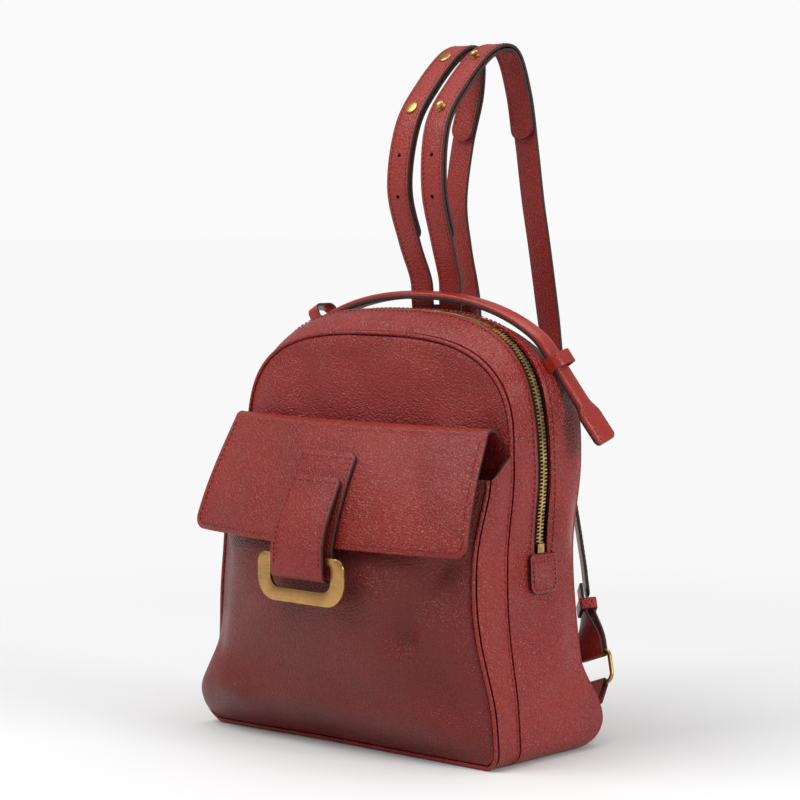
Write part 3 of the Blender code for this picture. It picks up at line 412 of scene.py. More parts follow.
# ----------------------------------------------------------------- curves of the body
def stations(value: Array, table: Sequence[tuple[float, float]]) -> Array:
    """Read (position, size) stations, eased by 3t^2 - 2t^3 from each one to the next.

    Args:
        value: positions to read at.
        table: the stations in rising order.

    Returns:
        Sizes at the positions.
    """
    spots, sizes = (np.array(column) for column in zip(*table))
    value = np.clip(value, spots[0], spots[-1])
    left = np.clip(np.searchsorted(spots, value, side="right") - 1, 0, len(spots) - 2)
    share = (value - spots[left]) / (spots[left + 1] - spots[left])
    share = share * share * (3.0 - 2.0 * share)
    return sizes[left] + (sizes[left + 1] - sizes[left]) * share


def ease(value: Array, low: float, high: float) -> Array:
    """Rise smoothly from 0 at low to 1 at high, by 3t^2 - 2t^3."""
    share = np.clip((np.asarray(value, dtype=float) - low) / (high - low), 0.0, 1.0)
    return share * share * (3.0 - 2.0 * share)


def travelled(path: Array) -> Array:
    """Distance run at each point of a polyline."""
    return np.concatenate([[0.0], np.cumsum(np.linalg.norm(np.diff(path, axis=0), axis=1))])


def read_rows(wanted: Array, along: Array, rows: Array) -> Array:
    """Rows of numbers, read at the wanted distances along a run."""
    return np.stack([np.interp(wanted, along, column) for column in rows.T], 1)


def resample(points: Array, count: int) -> Array:
    """Place points at equal steps along a polyline.

    Args:
        points: the polyline, one row each.
        count: how many to return.

    Returns:
        The new points.
    """
    along = travelled(points)
    return read_rows(np.linspace(0.0, along[-1], count), along, points)


def unit(rows: Array) -> Array:
    """Bring vectors to length 1 along the last axis."""
    return rows / np.linalg.norm(rows, axis=-1, keepdims=True)


def heading(path: Array) -> Array:
    """Direction of a polyline at each of its points."""
    return unit(np.gradient(path, axis=0))


def square_to(along: Array, axis: Array) -> Array:
    """Take from an axis what runs along a direction, a - (a . d) d, and bring it to length 1."""
    return unit(axis - (along * axis).sum(-1, keepdims=True) * along)


def level_out(points: Array) -> Array:
    """Directions from the middle of the bag to points, square to the Y axis."""
    out = points - INSIDE
    out[..., 1] = 0.0
    return unit(out)


def spread(count: int) -> Array:
    """Shares from -1 to 1, closer together towards both ends: sin of equal turns."""
    return np.sin(np.linspace(-math.pi / 2.0, math.pi / 2.0, count))


def curve_through(points: Array, shares: Sequence[float], ahead: Array, past: Array) -> Array:
    """Read a Catmull-Rom curve, a cubic between neighbours p1 and p2 that heads from p0 to p3.

    Args:
        points: what the curve runs through, one entry each.
        shares: places to read within each span.
        ahead: the point before the first one.
        past: the point after the last one.

    Returns:
        The entries of every span in order.
    """
    line = np.concatenate([ahead[None], points, past[None]])
    p0, p1, p2, p3 = (line[first:len(line) - 3 + first, None] for first in range(4))
    t = np.asarray(shares).reshape(1, -1, *[1] * (points.ndim - 1))
    curve = 0.5 * (2.0 * p1 + (p2 - p0) * t + (2.0 * p0 - 5.0 * p1 + 4.0 * p2 - p3) * t ** 2
                   + (3.0 * p1 - p0 - 3.0 * p2 + p3) * t ** 3)
    return curve.reshape(-1, *points.shape[1:])


def half_width(z: Array, top: float = ZIP_TOP) -> Array:
    """Half the width of the body: eased stations low down, then the arch x = w (1 - t^3)^(1/3)."""
    rise = np.clip((z - SHOULDER_Z) / (top - SHOULDER_Z), 0.0, 1.0)
    arch = SHOULDER_HALF * (1.0 - rise ** ARCH_POWER) ** (1.0 / ARCH_POWER)
    return np.where(np.asarray(z) <= SHOULDER_Z, stations(z, SIDE_STATIONS), arch)


def arch_line(top: float, low: float, depth: Depth, count: int, inset: float = 0.0) -> Array:
    """Run over the arch from low on the left to low on the right.

    The arch is x = w cos(t)^(2/3), z = s + h sin(t)^(2/3).

    Args:
        top: height of the arch.
        low: height of both ends.
        depth: depth behind the zip plane as a function of height.
        count: number of points.
        inset: how far the line lies inside the arch.

    Returns:
        Points along the line.
    """
    turn = np.linspace(0.0, math.pi / 2.0, 400)
    x = SHOULDER_HALF * np.cos(turn) ** (2.0 / ARCH_POWER)
    z = SHOULDER_Z + (top - SHOULDER_Z) * np.sin(turn) ** (2.0 / ARCH_POWER)
    if low < SHOULDER_Z:
        side_z = np.linspace(low, SHOULDER_Z, 60, endpoint=False)
        x = np.concatenate([half_width(side_z), x])
        z = np.concatenate([side_z, z])
    else:
        keep = z > low
        x = np.concatenate([[half_width(np.array(low), top)], x[keep]])
        z = np.concatenate([[low], z[keep]])
    x[-1] = 0.0
    flat = np.stack([np.concatenate([-x, x[-2::-1]]), np.concatenate([z, z[-2::-1]])], 1)
    flat = resample(flat, count)
    flat[:, 0] -= np.sign(flat[:, 0]) * inset * np.clip(np.abs(flat[:, 0]) / 0.08, 0.0, 1.0)
    return np.stack([flat[:, 0], ZIP_PLANE + depth(flat[:, 1]), flat[:, 1]], 1)


def cup_line(high: float, depth: Depth, count: int, inset: float = 0.0) -> Array:
    """Run down the left side from high, under the bag and up the right side to high.

    Args:
        high: height of both ends.
        depth: depth behind the zip plane as a function of height.
        count: number of points.
        inset: how far the line lies inside the body.

    Returns:
        Points along the line.
    """
    side_z = np.linspace(high, CORNER, 80)
    turn = np.linspace(0.0, math.pi / 2.0, 16)[1:]
    low_half = float(half_width(np.array(CORNER)))
    x = np.concatenate([half_width(side_z), low_half - CORNER * (1.0 - np.cos(turn))])
    z = np.concatenate([side_z, CORNER * (1.0 - np.sin(turn))])
    x, z = x - inset, np.maximum(z, inset)
    flat = np.stack([np.concatenate([-x, x[::-1]]), np.concatenate([z, z[::-1]])], 1)
    flat = resample(flat, count)
    return np.stack([flat[:, 0], ZIP_PLANE + depth(flat[:, 1]), flat[:, 1]], 1)


def front_depth(z: Array) -> Array:
    """Seam between the front panel and the gusset, which wanders a little as a soft seam does."""
    return -FRONT_DEPTH + 0.0011 * np.sin(z / 0.021 + 0.6) * ease(z, 0.02, 0.06) * (1.0 - ease(z, 0.20, 0.24))


def back_depth(z: Array) -> Array:
    """Seam between the back panel and the gusset."""
    return stations(z, BACK_STATIONS)


def pocket_depth(z: Array) -> Array:
    """Seam between the pocket face and its gusset: fullest under the flap, softly waved."""
    wander = 0.0016 * np.sin(z / 0.019) * ease(z, 0.01, 0.05) * (1.0 - ease(z, 0.12, 0.18))
    return -stations(z, ((0.0, 0.050), (0.130, 0.060), (0.192, 0.052))) + wander


def wall_depth(depth: Depth, z: Array) -> Array:
    """Depth that a leather wall takes up along Y where its seam line leans."""
    slope = (depth(z + 0.0005) - depth(z - 0.0005)) / 0.001
    return LEATHER * np.sqrt(1.0 + slope ** 2)


def zip_lean(z: Array) -> Array:
    """The middle of the zip, which leans back towards its lower ends."""
    return ZIP_DRIFT * np.clip((MOUTH_Z - z) / (MOUTH_Z - ZIP_END_Z), 0.0, 1.0)


def shifted(depth: Depth, offset: float) -> Depth:
    """A depth function moved by an offset."""
    return lambda z: depth(z) + offset


@dataclass(frozen=True)
class Crease:
    """A soft valley (or ridge, if negative) along a line in the XZ plane, bell-shaped across."""

    start: tuple[float, float]
    end: tuple[float, float]
    width: float
    depth: float

    def at(self, x: Array, z: Array) -> Array:
        """Depth of the valley: depth times exp(-(distance / width)^2)."""
        ax, az = self.start
        dx, dz = self.end[0] - ax, self.end[1] - az
        along = np.clip(((x - ax) * dx + (z - az) * dz) / (dx * dx + dz * dz), 0.0, 1.0)
        far = (x - ax - along * dx) ** 2 + (z - az - along * dz) ** 2
        return self.depth * np.exp(-far / self.width ** 2)


def swell(x: Array, z: Array, length: float, height: float, seed: int) -> Array:
    """Slow unevenness of soft leather: six sine waves in seeded directions and phases.

    Args:
        x: first coordinates.
        z: second coordinates.
        length: typical wavelength.
        height: typical height.
        seed: number of the random draw.

    Returns:
        Heights.
    """
    draw = np.random.default_rng(seed)
    total = np.zeros_like(x)
    for turn, phase, pace in zip(draw.uniform(0, math.tau, 6), draw.uniform(0, math.tau, 6),
                                 draw.uniform(0.6, 1.5, 6)):
        total = total + np.sin((x * math.cos(turn) + z * math.sin(turn)) * math.tau * pace / length + phase)
    return total * height / 2.4


# ----------------------------------------------------------------- mesh making
def new_mesh(name: str, points: Array, faces: Sequence[Sequence[int]], finishes: Finishes,
             slots: Array | None = None, crease: float = 50.0) -> Piece:
    """Make an object from points and faces.

    Args:
        name: the piece's name.
        points: vertex places.
        faces: vertex numbers of each face.
        finishes: materials in slot order.
        slots: material number of each face.
        crease: edges sharper than this many degrees stay sharp.

    Returns:
        The object, linked to the scene.
    """
    mesh = bpy.data.meshes.new(name)
    mesh.from_pydata(np.asarray(points).reshape(-1, 3).tolist(), [], [list(map(int, face)) for face in faces])
    for finish in finishes:
        mesh.materials.append(finish)
    if slots is not None:
        mesh.polygons.foreach_set("material_index", np.asarray(slots, dtype=np.int32))
    mesh.shade_smooth()
    mesh.set_sharp_from_angle(angle=math.radians(crease))
    obj = bpy.data.objects.new(name, mesh)
    bpy.context.scene.collection.objects.link(obj)
    return obj


def settle(obj: Piece, crease: float | None = None) -> Piece:
    """Apply the modifiers of a piece to its mesh.

    Args:
        obj: the piece.
        crease: sharp edge angle to set afterwards, in degrees.

    Returns:
        The same piece.
    """
    if obj.modifiers:
        graph = bpy.context.evaluated_depsgraph_get()
        mesh = bpy.data.meshes.new_from_object(obj.evaluated_get(graph))
        old, name = obj.data, obj.data.name
        obj.modifiers.clear()
        obj.data = mesh
        bpy.data.meshes.remove(old)
        mesh.name = name
    if crease is not None:
        obj.data.shade_smooth()
        obj.data.set_sharp_from_angle(angle=math.radians(crease))
    return obj


def mend(obj: Piece, merge: float = 0.0) -> Piece:
    """Merge doubles and turn every face outwards."""
    shape = bmesh.new()
    shape.from_mesh(obj.data)
    if merge:
        bmesh.ops.remove_doubles(shape, verts=shape.verts, dist=merge)
    bmesh.ops.recalc_face_normals(shape, faces=shape.faces)
    shape.to_mesh(obj.data)
    shape.free()
    return obj


def grid_faces(rows: int, columns: int, wrap_rows: bool = False, wrap_columns: bool = False) -> Array:
    """Quads of a grid of rows by columns, closed on itself where asked."""
    index = np.arange(rows * columns).reshape(rows, columns)
    if wrap_rows:
        index = np.concatenate([index, index[:1]], 0)
    if wrap_columns:
        index = np.concatenate([index, index[:, :1]], 1)
    corners = [index[:-1, :-1], index[:-1, 1:], index[1:, 1:], index[1:, :-1]]
    return np.stack([corner.ravel() for corner in corners], 1)


def face_out(points: Array, faces: Array, inside: Array) -> Array:
    """Turn all faces over if most look towards the inside point."""
    normal = np.cross(points[faces[:, 1]] - points[faces[:, 0]], points[faces[:, 3]] - points[faces[:, 0]])
    away = (points[faces].mean(axis=1) - inside) * normal
    return faces[:, ::-1] if away.sum() < 0.0 else faces


def sheet(name: str, grid: Array, wall: float, finishes: Finishes, inside: Array = INSIDE,
          keep: Array | None = None, wrap: bool = False, soft: float = 0.0) -> Piece:
    """A wall whose outer skin is the grid; its rim takes the second finish.

    Args:
        name: the piece's name.
        grid: outer skin, rows by columns by 3.
        wall: thickness towards the inside point.
        finishes: skin finish and rim finish.
        inside: a point on the inner side.
        keep: which grid faces to keep.
        wrap: whether the columns close on themselves.
        soft: radius of the rim's rounding.

    Returns:
        The finished piece.
    """
    rows, columns = grid.shape[:2]
    faces = grid_faces(rows, columns, wrap_columns=wrap)
    if keep is not None:
        faces = faces[keep.ravel()]
    points = grid.reshape(-1, 3)
    faces = face_out(points, faces, inside)
    used = np.unique(faces)
    renumber = np.zeros(len(points), dtype=int)
    renumber[used] = np.arange(len(used))
    obj = new_mesh(name, points[used], renumber[faces], finishes)
    thick = obj.modifiers.new("wall", "SOLIDIFY")
    thick.thickness, thick.offset, thick.use_even_offset = wall, -1.0, True
    thick.material_offset_rim = 1 if len(finishes) > 1 else 0
    if soft:
        round_edge = obj.modifiers.new("rim", "BEVEL")
        round_edge.width, round_edge.segments, round_edge.limit_method = soft, 2, "ANGLE"
        round_edge.angle_limit = math.radians(60.0)
    return settle(obj, 50.0)


def sweep(name: str, path: Array, wide: Array, profile: Array, finishes: Finishes,
          closed: bool = False, scale: Array | None = None, edge_from: float = 9.0) -> Piece:
    """Carry a closed profile along a path.

    Each profile point (a, b) lies at path + a wide + b (tangent x wide).

    Args:
        name: the piece's name.
        path: points of the middle line.
        wide: direction of the profile's first axis, one for all points or one for each.
        profile: closed outline, points of (a, b).
        finishes: skin finish and edge finish.
        closed: whether the path closes on itself.
        scale: width factor at each point.
        edge_from: share of the half width past which faces take the second finish.

    Returns:
        The finished piece.
    """
    path = np.asarray(path, dtype=float)
    tangent = unit(np.roll(path, -1, 0) - np.roll(path, 1, 0)) if closed else heading(path)
    wide = square_to(tangent, wide)
    deep = np.cross(tangent, wide)
    factor = np.ones(len(path)) if scale is None else scale
    grid = (path[:, None] + wide[:, None] * (profile[None, :, :1] * factor[:, None, None])
            + deep[:, None] * profile[None, :, 1:])
    rows, columns = grid.shape[:2]
    quads = grid_faces(rows, columns, wrap_rows=closed, wrap_columns=True)
    middle = np.abs(np.roll(profile, -1, 0)[:, 0] + profile[:, 0]) / 2.0
    on_edge = (middle > edge_from * np.abs(profile[:, 0]).max()).astype(np.int32)
    slots = np.tile(on_edge, rows if closed else rows - 1)
    faces = quads.tolist()
    if not closed:
        faces += [list(range(columns))[::-1], list(range((rows - 1) * columns, rows * columns))]
        slots = np.concatenate([slots, [len(finishes) - 1] * 2])
    return mend(new_mesh(name, grid.reshape(-1, 3), faces, finishes, slots))


def slab(width: float, thick: float, corner: float, steps: int = 3) -> Array:
    """Outline of a rounded rectangle centred on zero, points of (a, b)."""
    return rounded_outline(width, thick, corner, corner, steps)


def cord_outline(radius: float, steps: int = 3) -> Array:
    """Outline of a round cord, points of (a, b)."""
    return slab(2 * radius, 2 * radius, radius * 0.999, steps)


def rounded_outline(width: float, height: float, low: float, high: float, steps: int = 6) -> Array:
    """Outline of a rectangle about its centre with its own radius at the bottom and the top.

    Args:
        width: whole width.
        height: whole height.
        low: radius of the two lower corners.
        high: radius of the two upper corners.
        steps: segments of each corner.

    Returns:
        Points of (x, z), counter-clockwise.
    """
    centres = ((1, -1, low), (1, 1, high), (-1, 1, high), (-1, -1, low))
    turns = [math.pi / 2.0 * (number - 1 + np.arange(steps + 1) / steps) for number in range(4)]
    return np.concatenate([
        np.stack([right * (width / 2.0 - r) + r * np.cos(t), up * (height / 2.0 - r) + r * np.sin(t)], 1)
        for (right, up, r), t in zip(centres, turns)])


def frames(points: Array, normal: Array) -> Array:
    """Axes at each point of a run: along it, across it and out of the surface."""
    along = heading(points)
    out = square_to(along, normal)
    return np.stack([along, np.cross(out, along), out], 1)


def repeated(shape: Array, faces: Sequence[Sequence[int]], places: Array, axes: Array) -> tuple[Array, list]:
    """Copies of a small shape: point p of copy i lies at place i + p . axes i.

    Args:
        shape: points of the shape.
        faces: its faces.
        places: where each copy goes.
        axes: the three axes of each copy.

    Returns:
        All points and all faces.
    """
    points = places[:, None] + np.einsum("pk,nkj->npj", shape, axes)
    step = len(shape)
    copies = [[index + step * number for index in face] for number in range(len(places)) for face in faces]
    return points.reshape(-1, 3), copies


def capsule(length: float, radius: float, sides: int = 6) -> tuple[Array, list]:
    """A stitch: a six-sided lozenge, thin at both ends, fullest in the middle."""
    spots = np.array([(-0.5, 0.35), (-0.32, 0.9), (0.0, 1.0), (0.32, 0.9), (0.5, 0.35)])
    turn = np.arange(sides) * math.tau / sides
    rings = [np.stack([np.full(sides, s * length), radius * k * np.cos(turn), radius * k * np.sin(turn)], 1)
             for s, k in spots]
    faces = grid_faces(len(spots), sides, wrap_columns=True)[:, ::-1].tolist()
    faces += [list(range(sides)), list(range((len(spots) - 1) * sides, len(spots) * sides))[::-1]]
    return np.concatenate(rings), faces


def stitching(name: str, runs: Sequence[tuple[Array, Array]], finish: Material,
              stitch: tuple[float, float, float] = BODY_STITCH) -> Piece:
    """Rows of stitches that lie half sunk in the leather.

    Args:
        name: the piece's name.
        runs: pairs of path and outward direction.
        finish: the thread.
        stitch: pitch, length and half the thickness of a stitch.

    Returns:
        One piece with all rows.
    """
    pitch, length, radius = stitch
    sunk = 0.10 * MM
    places, axes = [], []
    for path, out in runs:
        out = np.broadcast_to(np.asarray(out, dtype=float), np.asarray(path).shape)
        total = travelled(path)[-1]
        both = resample(np.concatenate([path, out], 1), 4 * len(path))
        count = max(3, int(total / pitch))
        steps = travelled(both[:, :3])
        both = read_rows(np.linspace(0.0, steps[-1], count), steps, both)
        places.append(both[:, :3] + both[:, 3:] * sunk)
        axes.append(frames(both[:, :3], both[:, 3:]))
    shape, faces = capsule(length, radius)
    points, copies = repeated(shape, faces, np.concatenate(places), np.concatenate(axes))
    return mend(new_mesh(name, points, copies, [finish], crease=80.0))


def lathe(name: str, profile: Sequence[tuple[float, float]], foot: Array, axis: Array,
          finishes: Finishes, sides: int = 32) -> Piece:
    """Turn a profile of (radius, height) about an axis; it starts and ends on the axis.

    Args:
        name: the piece's name.
        profile: radius and height of each ring.
        foot: where height 0 lies.
        axis: direction of height.
        finishes: the finish.
        sides: facets round the axis.

    Returns:
        The finished piece.
    """
    axis = unit(axis)
    first = unit(np.cross(axis, X_AXIS if abs(axis[0]) < 0.8 else Y_AXIS))
    second = np.cross(axis, first)
    turn = np.arange(sides) * math.tau / sides
    circle = np.cos(turn)[:, None] * first + np.sin(turn)[:, None] * second
    profile = np.asarray(profile)
    grid = np.asarray(foot) + profile[:, None, 1:] * axis + profile[:, None, :1] * circle[None]
    faces = grid_faces(len(profile), sides, wrap_columns=True)
    return mend(new_mesh(name, grid.reshape(-1, 3), faces, finishes, crease=35.0), 1e-6)


def slumped(points: Array) -> Array:
    """Let the filled bag sag out over its left front corner; nothing moves up or down."""
    x, y, z = points[..., 0], points[..., 1], points[..., 2]
    weight = (ease(-x, 0.015, 0.122) * np.exp(-((z - 0.017) / 0.032) ** 2)
              * (0.75 + 0.25 * ease(z, 0.0, 0.012)))
    forward = ease(-y, -0.010, 0.055)
    moved = points.copy()
    moved[..., 0] -= SLUMP[0] * weight
    moved[..., 1] -= SLUMP[1] * weight * forward
    return moved


def slump(obj: Piece) -> Piece:
    """Apply the sag to a finished piece."""
    flat = np.empty(3 * len(obj.data.vertices))
    obj.data.vertices.foreach_get("co", flat)
    obj.data.vertices.foreach_set("co", slumped(flat.reshape(-1, 3)).ravel())
    obj.data.update()
    return obj


def mount(obj: Piece, slot: Slot, body: Body | None = None, nodes: Sequence[str] = (),
          bend: tuple | None = None) -> Piece:
    """Sag the piece if it belongs to the shell or crosses a joint, hang it under its body's empty or bake it
    in place, and hide the solids it replaces.

    Args:
        obj: the piece.
        slot: not used.
        body: the body that it rides on.
        nodes: solids that it replaces.
        bend: body, body, start and end where it crosses a joint; if given, the piece is baked in place and
            hung under no body.

    Returns:
        The same piece.
    """
    if bend or body is Body.SHELL:
        slump(obj)
    if bend:
        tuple(bend[2])
        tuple(bend[3])
        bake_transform(obj)
    else:
        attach(obj, body.value)
    if nodes:
        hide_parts(*nodes)
    LOG.info("%s: %d faces", obj.name, len(obj.data.polygons))
    return obj


# band over which the front of the mouth bends when it leans out; mount only sags and bakes in place the
# pieces given it
MOUTH_BEND = (Body.SHELL, Body.MOUTH, (0.0, ZIP_PLANE - MOUTH_DEPTH, MOUTH_Z - MOUTH_BAND),
              (0.0, ZIP_PLANE - MOUTH_DEPTH, MOUTH_Z + MOUTH_BAND))


def corner_cut(z: Array, inset: float, radius: float = CORNER) -> Array:
    """How much a piece narrows at a distance from its end because of its round corners."""
    radius = radius - inset
    drop = np.clip(radius + inset - z, 0.0, radius)
    return radius - np.sqrt(radius ** 2 - drop ** 2)


def panel_grid(low: float, high: float, rows: int, columns: int, top: float, inset: float,
               skin: Callable[[Array, Array, Array], Array]) -> Array:
    """Grid of a panel, closer rows and columns towards its edges.

    Args:
        low: lowest row.
        high: highest row.
        rows: number of rows.
        columns: number of columns.
        top: top of the arch.
        inset: how far the panel stops inside its seam line.
        skin: gives y from x, the share across and z.

    Returns:
        The grid.
    """
    z = low + (high - low) * (1.0 + spread(rows)) / 2.0
    across = spread(columns)
    half = half_width(z, top - inset) - inset - corner_cut(z, inset)
    x = across[None, :] * half[:, None]
    height = np.broadcast_to(z[:, None], x.shape)
    return np.stack([x, skin(x, np.broadcast_to(across, x.shape), height), height], 2)


@dataclass
class Shell:
    """Panels, gussets, piping, lining and board: the body of the bag."""

    palette: Palette
    front_crown: float = 0.0095
    roll: float = 0.0026
    back_crown: float = 0.005
    piping: float = 0.0015
    gusset_bulge: float = 0.0022
    loop_columns: int = 220

    FRONT_CREASES = (Crease((-0.075, 0.275), (-0.055, 0.232), 0.013, 0.0030),
                     Crease((-0.020, 0.262), (0.000, 0.236), 0.016, 0.0024),
                     Crease((0.055, 0.272), (0.075, 0.240), 0.015, 0.0026),
                     Crease((0.020, 0.268), (0.060, 0.258), 0.012, -0.0014),
                     Crease((-0.095, 0.245), (-0.080, 0.225), 0.012, -0.0016),
                     Crease((0.095, 0.250), (0.105, 0.215), 0.010, 0.0020))

    def front_skin(self, x: Array, across: Array, z: Array) -> Array:
        """Outer skin of the front panel: a crown, a rolled rim, soft hollows and slow waves."""
        rise = np.sqrt(np.clip(np.sin(math.pi * z / FRONT_TOP), 0.0, 1.0))
        edge = 1.0 - np.abs(across) ** 12
        crown = self.front_crown * 0.72 * (1.0 - np.abs(across) ** 2.5) * rise + self.roll * edge * rise
        hold = edge * ease(z, 0.0, 0.03) * (1.0 - ease(z, FRONT_TOP - 0.022, FRONT_TOP - 0.004))
        dents = sum(crease.at(x, z) for crease in self.FRONT_CREASES) + swell(x, z, 0.075, 0.0006, 3)
        return ZIP_PLANE - FRONT_DEPTH - LEATHER - GAP - crown + hold * dents

    def back_skin(self, x: Array, across: Array, z: Array) -> Array:
        """Outer skin of the back panel: a flat crown with slow waves."""
        rise = np.sqrt(np.clip(np.sin(math.pi * z / BACK_TOP), 0.0, 1.0))
        crown = self.back_crown * (1.0 - across ** 2) * rise
        waves = swell(x, z, 0.10, 0.0005, 5) * (1.0 - across ** 8) * rise
        return ZIP_PLANE + back_depth(z) + wall_depth(back_depth, z) + 2.0 * GAP + crown + waves

    def bulged(self, grid: Array, share: Array, height: float, seed: int, foot: float) -> Array:
        """Push a gusset outwards by height 4 s (1 - s), with slow waves on its sides but not at its foot."""
        out = level_out(grid)
        z, y = grid[:, :, 2], grid[:, :, 1]
        side = ease(np.abs(out[:, :, 0]), 0.5, 0.95) * ease(z, 0.012, 0.045)
        amount = (4.0 * share * (1.0 - share) * ease(z, foot, foot + 0.030)
                  * (height + swell(y * 1.6, z, 0.060, 0.0013, seed) * side))
        return grid + out * amount[:, :, None]

    def gusset_line(self, top: float, rim: Depth, arch: int, cup: int) -> Array:
        """A closed line round the body: the arch from left to right, then the cup from right to left."""
        over = arch_line(top, ZIP_END_Z, rim, arch)
        under = cup_line(ZIP_END_Z, rim, cup)[::-1]
        return np.concatenate([over, under[1:-1]])

    def build_gussets(self) -> None:
        """The strip in front of the zip, and the ring behind it that closes under the bag."""
        skin = [self.palette.body]
        arch = cup = self.loop_columns
        front_rim, back_rim = shifted(front_depth, GAP), shifted(back_depth, -GAP)
        before, behind = shifted(zip_lean, -ZIP_EDGE), shifted(zip_lean, ZIP_EDGE)
        rows = 12
        share = np.linspace(0.0, 1.0, rows)[:, None]
        first = arch_line(FRONT_TOP, ZIP_END_Z, front_rim, arch)
        last = arch_line(ZIP_LEATHER_TOP, ZIP_END_Z, before, arch)
        strip = first[None] * (1.0 - share[:, :, None]) + last[None] * share[:, :, None]
        strip = self.bulged(strip, np.broadcast_to(share, strip.shape[:2]), self.gusset_bulge, 11, ZIP_END_Z)
        mount(sheet("gusset_front", strip, LEATHER, skin), Slot.LEATHER,
              nodes=("gusset_front_upper", "gusset_front_left", "gusset_front_right"), bend=MOUTH_BEND)
        lines = [self.gusset_line(FRONT_TOP, front_rim, arch, cup),
                 self.gusset_line(ZIP_LEATHER_TOP, behind, arch, cup),
                 self.gusset_line(BACK_TOP, back_rim, arch, cup)]
        ahead = np.linspace(0.0, 1.0, rows)[:, None, None]
        after = np.linspace(0.0, 1.0, rows + 4)[1:, None, None]
        grid = np.concatenate([lines[0][None] * (1.0 - ahead) + lines[1][None] * ahead,
                               lines[1][None] * (1.0 - after) + lines[2][None] * after])
        z = grid[:, :, 2]
        whole = np.linspace(0.0, 1.0, grid.shape[0])[:, None]
        behind_share = np.concatenate([np.zeros(rows), np.linspace(0.0, 1.0, rows + 4)[1:]])[:, None]
        upper = ease(z, ZIP_END_Z - 0.030, ZIP_END_Z + 0.002)
        bump_low = 4.0 * whole * (1.0 - whole) * (1.0 - upper)
        bump_high = 4.0 * behind_share * (1.0 - behind_share) * upper
        out = level_out(grid)
        side = ease(np.abs(out[:, :, 0]), 0.5, 0.95) * ease(z, 0.010, 0.045)
        waves = swell(grid[:, :, 1] * 1.4 + np.sign(grid[:, :, 0]), z, 0.070, 0.0016, 12) * side
        amount = bump_low * (0.0010 * side + waves) + bump_high * (self.gusset_bulge + waves)
        grid = grid + out * amount[:, :, None]
        keep = np.ones((grid.shape[0] - 1, grid.shape[1]), dtype=bool)
        keep[:rows - 1, :arch - 1] = False
        mount(sheet("gusset_back_and_base", grid, LEATHER, skin, keep=keep, wrap=True), Slot.LEATHER,
              Body.SHELL, ("gusset_back", "gusset_lower"))
        self.build_zip_stitching(strip, grid[rows - 1:, :arch])

    def build_zip_stitching(self, strip: Array, back: Array) -> None:
        """Top stitching beside the zip, 4 mm inside both leather edges."""
        def run(edge: Array, inner: Array) -> list[tuple[Array, Array]]:
            """A line 4 mm from the edge towards the inner row, and its outward direction."""
            path = edge + unit(inner - edge) * 4.0 * MM
            out = level_out(path)
            return [(path + out * 0.5 * MM, out)]

        thread = self.palette.thread
        mount(stitching("zip_stitching_front", run(strip[-1], strip[-4]), thread), Slot.LEATHER,
              bend=MOUTH_BEND)
        mount(stitching("zip_stitching_back", run(back[0], back[3]), thread), Slot.LEATHER, Body.SHELL)

    def build_panels(self) -> None:
        """Front and back panel, each one soft piece of leather."""
        front = panel_grid(PANEL_FOOT, FRONT_TOP - PANEL_INSET - GAP, 96, 80, FRONT_TOP, PANEL_INSET,
                           self.front_skin)
        mount(sheet("front_panel", front, LEATHER, [self.palette.front]), Slot.LEATHER,
              nodes=("front_panel_lower", "front_panel_upper"), bend=MOUTH_BEND)
        back = panel_grid(0.004, BACK_TOP - 0.0014, 84, 56, BACK_TOP, 0.001, self.back_skin)
        mount(sheet("back_panel_leather", back, LEATHER, [self.palette.body]), Slot.LEATHER, Body.SHELL,
              ("back_panel",))

    def build_piping(self) -> None:
        """Leather-covered cord in the front seam, with the turned edge of the panel beside it."""
        proud = self.piping + 0.1 * MM
        seat = shifted(front_depth, -self.piping - 0.2 * MM)
        over = arch_line(FRONT_TOP - proud, PIPING_JOIN, seat, 220, proud)
        under = cup_line(PIPING_JOIN, seat, 260, proud)[::-1]
        loop = np.concatenate([over, under[1:-1]])
        cord = sweep("piping_front_seam", loop, level_out(loop), cord_outline(self.piping),
                     [self.palette.body], closed=True)
        mount(cord, Slot.LEATHER, nodes=("piping_front_upper", "piping_front_lower"), bend=MOUTH_BEND)

    def build_allowance(self) -> None:
        """The seam allowance turned in behind the edge of the front panel."""
        rim = shifted(front_depth, 0.5 * MM)
        lines = [arch_line(FRONT_TOP - step, PIPING_JOIN, rim, 180, step)
                 for step in (0.6 * MM, 3.5 * MM, 7.0 * MM)]
        mount(sheet("front_seam_allowance", np.stack(lines), 0.6 * MM, [self.palette.body]), Slot.LEATHER,
              bend=MOUTH_BEND)

    def build_lining(self) -> None:
        """Cotton lining just inside both panels, and the board in the base."""
        def before(x: Array, across: Array, z: Array) -> Array:
            """Lining behind the front panel, hung a little slack."""
            return self.front_skin(x, across, z) + LEATHER + 1.6 * MM + swell(x, z, 0.045, 0.0006, 21)

        def behind(x: Array, across: Array, z: Array) -> Array:
            """Lining in front of the back panel."""
            return (self.back_skin(x, across, z) - wall_depth(back_depth, z) - 1.6 * MM
                    + swell(x, z, 0.050, 0.0006, 22))

        for word, top, skin in (("front", MOUTH_Z - 1.0 * MM, before),
                                ("back", BACK_TOP - 20.0 * MM, behind)):
            grid = panel_grid(0.012, top, 60, 48, ZIP_TOP, 0.010, skin)
            mount(sheet(f"lining_{word}_cotton", grid, 0.5 * MM, [self.palette.lining]), Slot.LINING,
                  Body.SHELL, (f"lining_{word}",))
        frame["nodes"]["base_board"].data.materials[0] = self.palette.board

    def build(self) -> None:
        """Make every piece of the body."""
        self.build_gussets()
        self.build_panels()
        self.build_piping()
        self.build_allowance()
        self.build_lining()


